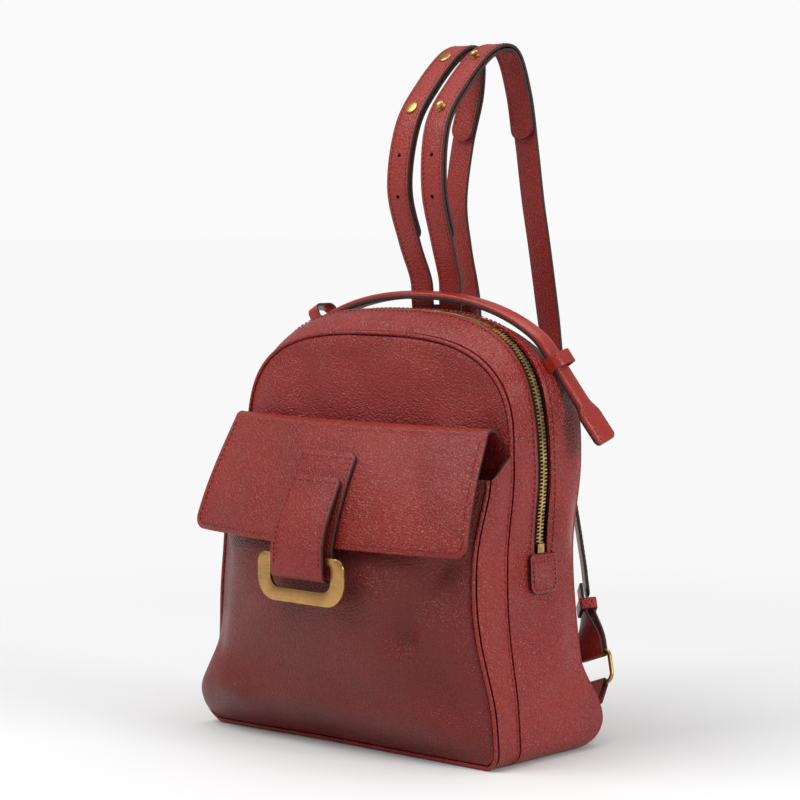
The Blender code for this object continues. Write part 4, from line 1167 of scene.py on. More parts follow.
@dataclass
class Pocket:
    """The full front pocket: gusset, piping, soft face and snap socket."""

    palette: Palette
    top: float = 0.192
    crown: float = 0.0300
    crown_stations: tuple = ((0.0, 0.0), (0.035, 0.88), (0.110, 1.0), (0.192, 0.46))
    rise: float = 0.014
    belly: float = 0.0055
    roll: float = 0.0030
    piping: float = 0.0015

    CREASES = (Crease((0.098, 0.135), (0.072, 0.086), 0.010, 0.0052),
               Crease((0.072, 0.086), (0.100, 0.036), 0.011, 0.0040),
               Crease((0.106, 0.100), (0.112, 0.060), 0.007, -0.0022),
               Crease((-0.105, 0.125), (-0.112, 0.060), 0.010, 0.0030),
               Crease((-0.118, 0.050), (-0.080, 0.030), 0.012, -0.0020),
               Crease((-0.040, 0.130), (-0.075, 0.095), 0.016, 0.0016),
               Crease((0.030, 0.120), (0.050, 0.090), 0.014, 0.0014),
               Crease((0.020, 0.045), (0.060, 0.030), 0.016, 0.0012))

    def skin(self, x: Array, across: Array, z: Array) -> Array:
        """Outer skin of the face: a full crown that sags low down, with soft creases near its seams."""
        lift = stations(z, self.crown_stations)
        slump = (1.0 - ease(z, 0.040, 0.100)) * ease(-across, 0.2, 0.8)
        round_off = (1.0 - np.abs(across) ** 3) ** (1.0 - 0.62 * slump)
        rim = self.roll * (1.0 - np.abs(across) ** 14) * ease(z, 0.0, 0.02)
        hold = (1.0 - np.abs(across) ** 10) * ease(z, 0.0, 0.03)
        dents = sum(crease.at(x, z) for crease in self.CREASES) + swell(x, z, 0.085, 0.0009, 8)
        depth = ZIP_PLANE + pocket_depth(z) - wall_depth(pocket_depth, z) - GAP
        return depth - (self.crown - self.roll) * round_off * lift - rim + hold * dents

    def overhang(self, grid: Array) -> Array:
        """Slump the lower left corner outwards by a bell over height, most just inside the seam."""
        x, z = grid[:, :, 0], grid[:, :, 2]
        reach = np.clip(-x / 0.128, 0.0, 1.0)
        bell = np.exp(-((z - 0.026) / 0.022) ** 2) * ease(z, 0.002, 0.014)
        push = self.belly * bell * ease(reach, 0.80, 0.965) * (1.0 - ease(reach, 0.985, 1.01))
        return grid - np.stack([push, push * 0.0, push * 0.0], 2)

    def build(self) -> None:
        """Make the pocket's pieces."""
        palette = self.palette
        radius = self.piping
        root = shifted(front_depth, -2.0 * radius - 0.8 * MM)
        first, last = cup_line(self.top, shifted(pocket_depth, GAP),
                               260), cup_line(self.top + self.rise, root, 260)
        share = np.linspace(0.0, 1.0, 12)[:, None]
        grid = first[None] * (1.0 - share[:, :, None]) + last[None] * share[:, :, None]
        out = level_out(grid)
        side = ease(np.abs(out[:, :, 0]), 0.5, 0.95) * ease(grid[:, :, 2], 0.012, 0.040)
        waves = 0.0016 + swell(grid[:, :, 1] + np.sign(grid[:, :, 0]), grid[:, :, 2], 0.045, 0.0014, 21)
        grid = grid + out * (4.0 * share * (1.0 - share) * side * waves)[:, :, None]
        mount(sheet("pocket_gusset_leather", grid, LEATHER, [palette.body, palette.edge]), Slot.LEATHER,
              Body.SHELL, ("pocket_gusset",))
        face = self.overhang(panel_grid(PANEL_FOOT, self.top, 100, 110, ZIP_TOP, PANEL_INSET, self.skin))
        # the face's leather is darker than the front's: painted shade under the flap
        mount(sheet("pocket_face_leather", face, LEATHER, [palette.pocket, palette.edge]), Slot.LEATHER,
              Body.SHELL, ("pocket_face",))
        seam = cup_line(self.top, shifted(pocket_depth, -radius - 0.2 * MM), 260, radius + 0.1 * MM)
        mount(sweep("piping_pocket_seam", seam, level_out(seam), cord_outline(radius), [palette.body]),
              Slot.LEATHER, Body.SHELL, ("piping_pocket",))
        for name in ("snap_socket", "snap_stud"):
            frame["nodes"][name].data.materials[0] = palette.steel


@dataclass
class Flap:
    """The flap that folds down over the pocket, sewn to the front panel."""

    palette: Palette
    shell: Shell
    fold_z: float = 0.2220
    bottom_z: float = 0.143
    top_half: float = 0.117
    bottom_half: float = 0.127
    top_depth: float = 0.048
    bottom_depth: float = 0.081
    crown: float = 0.016
    seam_z: float = 0.2135
    corner: float = 0.010

    CREASES = (Crease((-0.070, 0.215), (-0.045, 0.170), 0.014, 0.0014),
               Crease((0.060, 0.215), (0.085, 0.165), 0.013, 0.0016),
               Crease((0.030, 0.200), (0.040, 0.150), 0.010, -0.0008),
               Crease((-0.110, 0.165), (-0.085, 0.148), 0.010, 0.0012))

    def skin(self, across: Array, z: Array) -> Array:
        """Outer skin of the hanging part.

        The depth grows from fold to hem by (s + sin(s pi/2)) / 2, so the flap leaves the
        fold at a slant and hangs straight at the hem; waves grow towards the hem.
        """
        share = np.clip((self.fold_z - z) / (self.fold_z - self.bottom_z), 0.0, 1.0)
        depth = (self.top_depth + (self.bottom_depth - self.top_depth)
                 * (share + np.sin(share * math.pi / 2.0)) / 2.0)
        x = across * self.top_half
        soft = sum(crease.at(x, z) for crease in self.CREASES) + swell(x, z, 0.090, 0.0008, 31) * share
        return (ZIP_PLANE - depth - self.crown * (1.0 - np.abs(across) ** 2.2) + soft
                * (1.0 - np.abs(across) ** 12))

    def half(self, z: Array) -> Array:
        """Half width of the hanging part, its lower corners rounded."""
        share = np.clip((self.fold_z - z) / (self.fold_z - self.bottom_z), 0.0, 1.0)
        return (self.top_half + (self.bottom_half - self.top_half) * share
                - corner_cut(z - self.bottom_z, 0.0, self.corner))

    def point(self, across: Array, z: Array) -> Array:
        """Places on the outer skin of the hanging part."""
        return np.stack([across * self.half(z), self.skin(across, z), z], -1)

    def build(self) -> None:
        """Make the flap with its fold, its painted edge and its stitching."""
        rows, columns = 44, 96
        across = spread(columns)
        lift = 1.0 - np.cos(np.linspace(0.0, math.pi * 0.5, rows))
        z = self.bottom_z + (self.fold_z - 2.6 * MM - self.bottom_z) * lift + 0.02 * MM
        hanging = self.point(*np.broadcast_arrays(across, z[:, None]))[::-1]
        x = across * self.top_half
        wide = x / (float(half_width(np.array(self.seam_z), FRONT_TOP)) - PIPED_INSET)
        clear = 2.0 * GAP

        def on_panel(height: float) -> Array:
            """A row against the front panel at a height."""
            level = np.full_like(x, height)
            return np.stack([x, self.shell.front_skin(x, wide, level) - clear, level], -1)

        seam_low, seam = on_panel(self.seam_z - 4.0 * MM), on_panel(self.seam_z)
        fold = self.point(across, np.full_like(x, self.fold_z + 0.3 * MM))
        bridge = [seam * (1.0 - t) + fold * t + np.array([0.0, 0.0, 24.0 * t * (1.0 - t) * MM])
                  for t in (0.10, 0.28, 0.50, 0.72, 0.90)]
        spine = np.stack([seam_low, (seam + seam_low) / 2.0, seam, *bridge, fold, hanging[0]])
        smooth = curve_through(spine, (0.33, 0.67, 1.0), spine[0], spine[-1])
        grid = np.concatenate([spine[:1], smooth, hanging[1:]])
        inside = np.array([0.0, ZIP_PLANE - 0.055, 0.192])
        fold_y = float(self.skin(np.array(0.0), np.array(self.fold_z)))
        bend = (Body.SHELL, Body.FLAP, (0.0, fold_y + 0.009, self.fold_z + 0.004),
                (0.0, fold_y - 0.001, self.fold_z - 0.0035))
        mount(sheet("flap_leather", grid, LEATHER, [self.palette.front, self.palette.edge], inside,
                    soft=0.45 * MM), Slot.LEATHER, nodes=("flap", "flap_fold"), bend=bend)
        self.build_stitching()

    def build_stitching(self) -> None:
        """One row 4 mm inside the sides and the hem."""
        inset = 4.2 * MM
        up = np.linspace(self.fold_z - 6.0 * MM, self.bottom_z + inset + 7.0 * MM, 40)
        turn = np.linspace(0.0, math.pi / 2.0, 10)[1:-1]
        radius = 7.0 * MM
        low_half = self.bottom_half - inset
        side = (self.top_half + (self.bottom_half - self.top_half) * (self.fold_z - up)
                / (self.fold_z - self.bottom_z) - inset)
        x = np.concatenate([side, low_half - radius * (1.0 - np.cos(turn)),
                            np.linspace(low_half - radius, 0.0, 60)])
        z = np.concatenate([up, self.bottom_z + inset + radius * (1.0 - np.sin(turn)),
                            np.full(60, self.bottom_z + inset)])
        x, z = np.concatenate([x, -x[-2::-1]]), np.concatenate([z, z[-2::-1]])
        share = x / self.half(z)
        path = np.stack([x, self.skin(share, z) - 0.15 * MM, z], 1)
        step = 0.5 * MM
        slope_x = ((self.skin((x + step) / self.half(z), z) - self.skin((x - step) / self.half(z), z))
                   / (2 * step))
        slope_z = (self.skin(share, z + step) - self.skin(share, z - step)) / (2 * step)
        out = unit(np.stack([slope_x, -np.ones_like(x), slope_z], 1))
        mount(stitching("flap_stitching", [(path, out)], self.palette.thread), Slot.LEATHER, Body.FLAP)


@dataclass
class Closure:
    """Wide strap folded round the bar of a flat brass ring."""

    palette: Palette
    flap: Flap
    back_top: float = 0.205
    front_top: float = 0.190
    fold_z: float = 0.1255
    fold_radius: float = 0.0042
    thick: float = 0.0020
    half: float = 0.0245
    corner: float = 0.005
    stitch_inset: float = 0.0032

    def bar(self) -> Array:
        """Middle of the ring's upper bar."""
        low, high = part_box("closure_ring")
        return np.array([0.0, (low[1] + high[1]) / 2.0, high[2] - 2.25 * MM])

    def path(self) -> Array:
        """Down the flap, round the bar, and up again in front."""
        z = np.linspace(self.back_top, self.flap.bottom_z, 60)
        y = self.flap.skin(np.zeros_like(z), z)
        lean = np.sqrt(1.0 + np.gradient(y, z) ** 2)
        back_y = y - (2.0 * GAP + self.thick / 2.0) * lean
        bar = self.bar()
        turn = np.linspace(0.0, math.pi, 17)
        fold_y = bar[1] + self.fold_radius * np.cos(turn)
        fold_z = self.fold_z - self.fold_radius * np.sin(turn)
        front = z <= self.front_top
        front_z, front_y = z[front][::-1], back_y[front][::-1] - 2.0 * self.fold_radius
        fall = np.linspace(0.0, 1.0, len(front_z))
        front_y = front_y + 0.0042 * ease(fall, 0.15, 1.0)
        points = np.stack([np.zeros(60 + 17 + len(front_z)), np.concatenate([back_y, fold_y, front_y]),
                           np.concatenate([z, fold_z, front_z])], 1)
        return resample(points, 130)

    def build(self) -> None:
        """Make the strap, its stitching and the ring."""
        path = self.path()
        count = len(path)
        steps = travelled(path)
        low = int(np.argmin(path[:, 2]))
        width = np.where(np.arange(count) < low, 1.07 - 0.07 * steps / steps[low],
                         1.0 - 0.08 * (steps - steps[low]) / (steps[-1] - steps[low]))
        for end in (steps, steps[-1] - steps):
            width = width - corner_cut(end, 0.0, self.corner) / self.half
        ends = np.array([0.0, 0.25, 0.8, 1.6, 2.8]) * MM
        fine = np.unique(np.concatenate([ends, np.linspace(4.0 * MM, steps[-1] - 4.0 * MM, count),
                                         steps[-1] - ends]))
        path, width = read_rows(fine, steps, path), np.interp(fine, steps, width)
        strap = sweep("closure_strap_leather", path, X_AXIS, slab(2 * self.half, self.thick, 0.55 * MM),
                      [self.palette.front, self.palette.edge], scale=width, edge_from=0.975)
        mount(strap, Slot.LEATHER, Body.FLAP, ("closure_strap",))
        out = np.cross(heading(path), X_AXIS)
        out *= -np.sign(out[4, 1])
        runs = []
        lift = self.thick / 2.0 + 0.05 * MM
        inset = self.stitch_inset
        for first, last in ((inset, steps[low] - 14.0 * MM), (steps[low] + 12.0 * MM, steps[-1] - inset)):
            keep = (fine >= first) & (fine <= last)
            sign = 1.0 if first < steps[low] else -1.0
            base = path[keep] + out[keep] * lift * sign
            side = X_AXIS * (self.half * np.clip(width[keep], 0.8, 2.0)[:, None] - inset)
            runs += [(base + side, out[keep] * sign), (base - side, out[keep] * sign)]
            tip = 0 if first < steps[low] else -1
            share = np.linspace(-0.94, 0.94, 12)[:, None]
            runs.append((base[tip] + side[tip] * share, np.tile(out[keep][tip] * sign, (12, 1))))
        mount(stitching("closure_stitching", runs, self.palette.thread, CLOSURE_STITCH), Slot.LEATHER,
              Body.FLAP)
        self.build_ring()

    def build_ring(self) -> None:
        """Flat ring with chamfered edges: a rectangular section carried round between two outlines."""
        low, high = (np.array(corner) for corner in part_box("closure_ring"))
        wide, thick, tall = high - low
        centre = (low + high) / 2.0
        bar, side, foot = 4.5 * MM, 12.0 * MM, 9.5 * MM
        rim = rounded_outline(wide, tall, 16.0 * MM, 8.0 * MM, 12)
        hole = (rounded_outline(wide - 2 * side, tall - bar - foot, 8.0 * MM, 4.0 * MM, 12)
                + np.array([0.0, (foot - bar) / 2.0]))
        inward = unit(hole - rim)
        soft = 0.5 * MM
        layers = []
        for edge, sign in ((rim, 1.0), (hole, -1.0)):
            for inset, depth in ((0.0, thick / 2 - soft), (soft * 0.3, thick / 2 - soft * 0.3),
                                 (soft, thick / 2)):
                layers.append((edge + inward * inset * sign, depth))
        order = layers[:3] + layers[:2:-1]
        rings = order + [(p, -d) for p, d in order[::-1]]
        grid = np.stack([np.stack([centre[0] + p[:, 0], np.full(len(p), centre[1] - d), centre[2] + p[:, 1]],
                                  1) for p, d in rings])
        faces = grid_faces(grid.shape[0], grid.shape[1], True, True)
        ring = mend(new_mesh("closure_ring_brass", grid.reshape(-1, 3), faces, [self.palette.brass],
                             crease=30.0))
        mount(ring, Slot.BRASS, Body.RING, ("closure_ring",))


@dataclass
class Zip:
    """Tapes, interleaved teeth, end patches, bottom stop, slider and pull."""

    palette: Palette
    recess: float = 0.0024
    pitch: float = 0.0025
    clear: float = 0.0035
    patch: tuple = (0.028, 0.026, 0.006)

    # half a tooth's outline: share of its head's half width, and mm across the zip
    TOOTH = ((1.0, -0.75), (1.25, 0.1), (1.1, 0.7), (0.9, 3.0), (0.6, 3.5))

    def line(self, offset: float, lift: float, count: int) -> Array:
        """A line along the zip at an offset from its middle, lifted off the tape."""
        path = arch_line(ZIP_TOP - self.recess, ZIP_END_Z + 1.0 * MM, shifted(zip_lean, offset), count,
                         self.recess)
        return path + self.outward(path) * lift

    def outward(self, path: Array) -> Array:
        """Direction out of the arch in the XZ plane, square to the line."""
        flat = path.copy()
        flat[:, 1] = 0.0
        along = heading(flat)
        out = np.stack([-along[:, 2], np.zeros(len(path)), along[:, 0]], 1)
        return out * np.sign((out * (path - INSIDE)).sum(1, keepdims=True))

    def build_side(self, word: str, sign: float, nodes_tape: tuple, nodes_chain: tuple,
                   bend: tuple | None) -> None:
        """Tape and teeth of one side of the zip."""
        grid = np.stack([self.line(sign * offset, 0.0, 200)
                         for offset in (5.2 * MM, 3.4 * MM, 1.6 * MM, 0.15 * MM)])
        place = {"bend": bend} if bend else {"body": Body.SHELL}
        mount(sheet(f"zip_tape_{word}_woven", grid, 0.8 * MM, [self.palette.tape]), Slot.TAPE,
              nodes=nodes_tape, **place)
        middle = self.line(0.0, 0.9 * MM, 900)
        total = travelled(middle)[-1]
        count = int((total - 2.0 * self.clear) / self.pitch)
        share = (np.arange(count) + (0.0 if sign < 0 else 0.5)) * self.pitch / total
        keep = np.clip(share + self.clear / total, 0.0, 1.0)
        spot = read_rows(keep, np.linspace(0.0, 1.0, 900), middle)
        axes = frames(spot, self.outward(spot))
        across = axes[:, 1] * np.sign(axes[:, 1, 1:2])
        axes = np.stack([axes[:, 0], across * sign, axes[:, 2]], 1)
        head = 0.52 * self.pitch / 2.0
        half = np.array(self.TOOTH) * np.array([head, MM])
        outline = np.roll(np.concatenate([half, half[::-1] * np.array([-1.0, 1.0])]), 1, axis=0)
        ends = len(outline)
        layers = [np.column_stack([outline * np.array([k, 1.0]), np.full(ends, h)])
                  for k, h in ((1.0, -0.8 * MM), (1.0, 0.45 * MM), (0.72, 0.85 * MM))]
        shape = np.concatenate(layers)
        faces = grid_faces(3, ends, wrap_columns=True).tolist()
        faces += [list(range(ends))[::-1], list(range(2 * ends, 3 * ends))]
        points, copies = repeated(shape, faces, spot, axes)
        teeth = mend(new_mesh(f"zip_teeth_{word}", points, copies, [self.palette.teeth], crease=30.0))
        mount(teeth, Slot.BRASS, nodes=nodes_chain, **place)

    def build_patch(self, word: str, side: float) -> None:
        """Leather patch over one lower end of the zip, double stitched along its top."""
        wide, tall, radius = self.patch
        top = ZIP_END_Z - 0.5 * MM
        z = top - tall * (1.0 + spread(40)) / 2.0
        half = wide / 2.0 - corner_cut(z - (top - tall), 0.0, radius) - corner_cut(top - z, 0.0, 1.5 * MM)
        across = spread(24)
        y = ZIP_PLANE + ZIP_DRIFT + across[None] * half[:, None]
        height = np.broadcast_to(z[:, None], y.shape)
        puff = (0.9 * MM * (1.0 - np.abs(across[None]) ** 4)
                * (1.0 - np.abs(2.0 * (top - height) / tall - 1.0) ** 4))
        x = half_width(height) + THIN + 2.2 * GAP + puff + 0.6 * MM
        grid = np.stack([side * x, y, height], 2)
        patch = sheet(f"zip_patch_{word}_leather", grid, THIN + 0.5 * MM,
                      [self.palette.body, self.palette.edge], soft=0.4 * MM)
        mount(patch, Slot.LEATHER, Body.SHELL, (f"zip_patch_{word}",))
        out = np.array([side, 0.0, 0.0])

        def spots(yy: Array, zz: Array) -> Array:
            """Points on the patch's skin."""
            a = np.clip(np.abs(yy - ZIP_PLANE - ZIP_DRIFT) / (wide / 2.0), 0.0, 1.0)
            b = np.abs(2.0 * (top - zz) / tall - 1.0)
            lift = 0.9 * MM * (1.0 - a ** 4) * (1.0 - b ** 4)
            return np.stack([side * (half_width(zz) + THIN + 2.2 * GAP + lift + 0.75 * MM), yy, zz], 1)

        inset = 2.6 * MM
        line = np.linspace(-wide / 2 + inset, wide / 2 - inset, 20) + ZIP_PLANE + ZIP_DRIFT
        runs = [(spots(line, np.full(20, top - down)), out) for down in (2.4 * MM, 5.0 * MM)]
        edge = rounded_outline(wide - 2 * inset, tall - inset - 4.6 * MM, radius - 2.0 * MM, 0.3 * MM, 8)
        edge = np.roll(edge, 9, axis=0)
        low_half = edge[np.argsort(np.arctan2(edge[:, 0], -edge[:, 1] + 1e-9))]
        low_half = low_half[np.abs(np.arctan2(low_half[:, 0], -low_half[:, 1])) < 2.35]
        middle = top - 5.0 * MM - (tall - inset - 5.0 * MM) / 2.0
        runs.append((spots(low_half[:, 0] + ZIP_PLANE + ZIP_DRIFT, low_half[:, 1] + middle), out))
        mount(stitching(f"zip_patch_stitching_{word}", runs, self.palette.thread, PATCH_STITCH), Slot.LEATHER,
              Body.SHELL)

    def build_slider(self) -> None:
        """Slider: a rounded body with a bridge, and a pull with an eye and a waist."""
        low, high = (np.array(corner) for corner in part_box("zip_slider"))
        centre, size = (low + high) / 2.0, high - low
        z = np.linspace(-0.5, 0.5, 14)
        taper = 1.0 - 0.32 * ease(-z, 0.0, 0.5)
        path = centre + np.stack([np.zeros(14), np.zeros(14), z * size[2]], 1)
        body = sweep("zip_slider_body", path, Y_AXIS, slab(size[1], size[0] * 0.62, 0.9 * MM),
                     [self.palette.teeth], scale=taper)
        mount(body, Slot.BRASS, Body.SLIDER, ("zip_slider",))
        turn = np.linspace(0.0, math.pi, 12)
        bridge = centre + np.stack([-size[0] * 0.30 - 1.3 * MM * np.sin(turn), np.zeros(12),
                                    -4.0 * MM * np.cos(turn) + 1.0 * MM], 1)
        mount(sweep("zip_slider_bridge", bridge, Y_AXIS, slab(2.2 * MM, 0.9 * MM, 0.3 * MM, 2),
                    [self.palette.teeth]), Slot.BRASS, Body.SLIDER)
        low, high = (np.array(corner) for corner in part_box("zip_pull"))
        centre, size = (low + high) / 2.0, high - low
        count = 40
        share = np.linspace(-1.0, 1.0, count)
        half = (size[1] / 2.0 * (0.62 + 0.38 * ease(-share, -0.5, 0.6))
                * np.sqrt(np.clip(1.0 - np.abs(share) ** 14, 0.02, 1.0)))
        path = centre + np.stack([np.zeros(count), np.zeros(count), share * size[2] / 2.0], 1)
        mount(sweep("zip_pull_tab", path, Y_AXIS, slab(size[1], size[0], 0.6 * MM),
                    [self.palette.brass], scale=half / (size[1] / 2.0)), Slot.BRASS, Body.PULL, ("zip_pull",))

    def build(self) -> None:
        """Make both sides, the patches and the slider."""
        self.build_side("front", -1.0, ("zip_tape_front", "zip_tape_left"),
                        ("zip_chain_front", "zip_chain_left"), MOUTH_BEND)
        self.build_side("back", 1.0, ("zip_tape_back", "zip_tape_right"),
                        ("zip_chain_back", "zip_chain_right"), None)
        for word, side in (("left", -1.0), ("right", 1.0)):
            self.build_patch(word, side)
        self.build_slider()
        frame["nodes"]["zip_bottom_stop"].data.materials[0] = self.palette.teeth


@dataclass
class Handle:
    """Domed leather handle with a paddle at each end, held by two keepers."""

    palette: Palette
    depth: float = 0.022
    top: float = 0.3085
    power: float = 2.25
    end: tuple = (0.1072, 0.0220, 0.2802)
    neck: tuple = (0.1296, 0.0300, 0.2447)
    tip: tuple = (0.1480, 0.0400, 0.2130)
    width: float = 0.014
    paddle: float = 0.022
    thick: float = 0.0058
    corner: float = 0.0045
    keeper_wide: float = 0.010
    keeper_side: float = 0.0019
    # how far inside the handle's end the left keeper sits, its rise and its slack below
    left_keeper: tuple = (0.012, 0.0075, 0.0006)
    # how far down the slope the right keeper sits, as a share, and its rise
    right_keeper: tuple = (0.42, 0.0043)

    def path(self) -> Array:
        """Arch z = s + h (1 - (x/w)^2.25)^(1/2.25) between the keepers, then down to each tip."""
        rise = (self.end[2] - SHOULDER_Z) / (self.top - SHOULDER_Z)
        half = self.end[0] / (1.0 - rise ** self.power) ** (1.0 / self.power)
        x = np.linspace(-self.end[0], self.end[0], 61)
        drop = 1.0 - np.abs(x / half) ** self.power
        z = SHOULDER_Z + (self.top - SHOULDER_Z) * drop ** (1.0 / self.power)
        arch = np.stack([x, np.full_like(x, self.depth), z], 1)
        end, neck, tip = np.array(self.end), np.array(self.neck), np.array(self.tip)
        right = np.array([end * 0.5 + neck * 0.5, neck, neck * 0.5 + tip * 0.5, tip])
        left = right * np.array([-1.0, 1.0, 1.0])
        points = np.concatenate([left[::-1], arch, right]) + np.array([0.0, ZIP_PLANE, 0.0])
        fine = resample(points, 400)
        kernel = np.hanning(27)
        kernel /= kernel.sum()
        padded = np.concatenate([2 * fine[:1] - fine[13:0:-1], fine, 2 * fine[-1:] - fine[-2:-15:-1]])
        return np.stack([np.convolve(padded[:, k], kernel, "valid") for k in range(3)], 1)

    def build(self) -> None:
        """Make the handle, the paddles' stitching and the keepers."""
        path = self.path()
        steps = travelled(path)
        near = np.minimum(steps, steps[-1] - steps)
        full = self.paddle / self.width
        scale = 1.0 + (full - 1.0) * (1.0 - ease(near, 0.020, 0.031))
        scale = np.maximum(scale - corner_cut(near, 0.0, self.corner) / (self.width / 2.0), 0.2)
        turn = np.linspace(0.0, math.pi, 15)
        crown = np.stack([self.width / 2.0 * np.cos(turn), self.thick * 0.10 + self.thick * 0.40
                          * np.sin(turn) ** 0.8], 1)
        base = np.array([(-0.5, -0.10), (-0.5, -0.42), (-0.46, -0.5), (-0.2, -0.5), (0.2, -0.5), (0.46, -0.5),
                         (0.5, -0.42), (0.5, -0.10)]) * np.array([self.width, self.thick])
        profile = np.concatenate([crown, base])
        up = np.cross(np.gradient(path, axis=0), Y_AXIS)
        sign = 1.0 if up[len(path) // 2, 2] >= 0.0 else -1.0
        profile = profile * np.array([1.0, sign])
        handle = sweep("handle_leather", path, Y_AXIS, profile, [self.palette.handle, self.palette.edge],
                       scale=scale)
        height = (np.roll(profile, -1, 0)[:, 1] + profile[:, 1]) / 2.0 * sign
        dark = (height < -self.thick * 0.09).astype(np.int32)
        slots = np.concatenate([np.tile(dark, len(path) - 1), [1, 1]])
        handle.data.polygons.foreach_set("material_index", slots.astype(np.int32))
        mount(handle, Slot.STRAP, Body.HANDLE, ("handle",))
        self.build_paddle_stitching(path, near, scale)
        self.build_keepers(path)

    def build_paddle_stitching(self, path: Array, near: Array, scale: Array) -> None:
        """Both sides of each paddle, from near its tip to past its neck."""
        along = heading(path)
        wide = square_to(along, Y_AXIS)
        out = np.cross(along, wide)
        out *= np.sign(out[len(path) // 2, 2])
        runs = []
        for half_of in (slice(0, len(path) // 2), slice(len(path) // 2, len(path))):
            keep = (near[half_of] > 3.0 * MM) & (near[half_of] < 0.052)
            base = (path[half_of] + out[half_of] * self.thick * 0.36)[keep]
            side = wide[half_of][keep] * (self.width / 2.0 * scale[half_of][keep][:, None] - 2.4 * MM)
            runs += [(base + side, out[half_of][keep]), (base - side, out[half_of][keep])]
        mount(stitching("handle_stitching", runs, self.palette.thread, HANDLE_STITCH), Slot.STRAP,
              Body.HANDLE)

    def build_keepers(self, path: Array) -> None:
        """Closed loops of thin leather that hold the handle down; the left one stands loose."""
        end, neck = np.array(self.end), np.array(self.neck)
        inside, left_rise, slack = self.left_keeper
        share, right_rise = self.right_keeper
        spot = int(np.argmin(np.abs(path[:, 0] + end[0] - inside)))
        left = (path[spot], path[spot - 1] - path[spot + 1], left_rise, slack)
        right = (end + (neck - end) * share + np.array([0.0, ZIP_PLANE, 0.0]), neck - end, right_rise, 0.0)
        for word, (middle, along, rise, slack) in (("left", left), ("right", right)):
            along = unit(along)
            wide = square_to(along, Y_AXIS)
            up = np.cross(along, wide)
            up *= np.sign(up[2])
            low = -self.thick / 2.0 - GAP - slack - THIN / 2.0
            high = self.thick / 2.0 + rise + THIN / 2.0
            half = self.width / 2.0 + self.keeper_side + THIN / 2.0
            loop = rounded_outline(2.0 * half, high - low, 0.0015, 0.0045, 8)
            fine = resample(np.concatenate([loop, loop[:1]]), 65)[:-1]
            ring = middle + wide * fine[:, :1] + up * (fine[:, 1:] + (high + low) / 2.0)
            keeper = sweep(f"handle_keeper_{word}_leather", ring, along,
                           slab(self.keeper_wide, THIN, 0.5 * MM), [self.palette.handle, self.palette.edge],
                           closed=True, edge_from=0.93)
            mount(keeper, Slot.STRAP, Body.SHELL, (f"handle_keeper_{word}",))


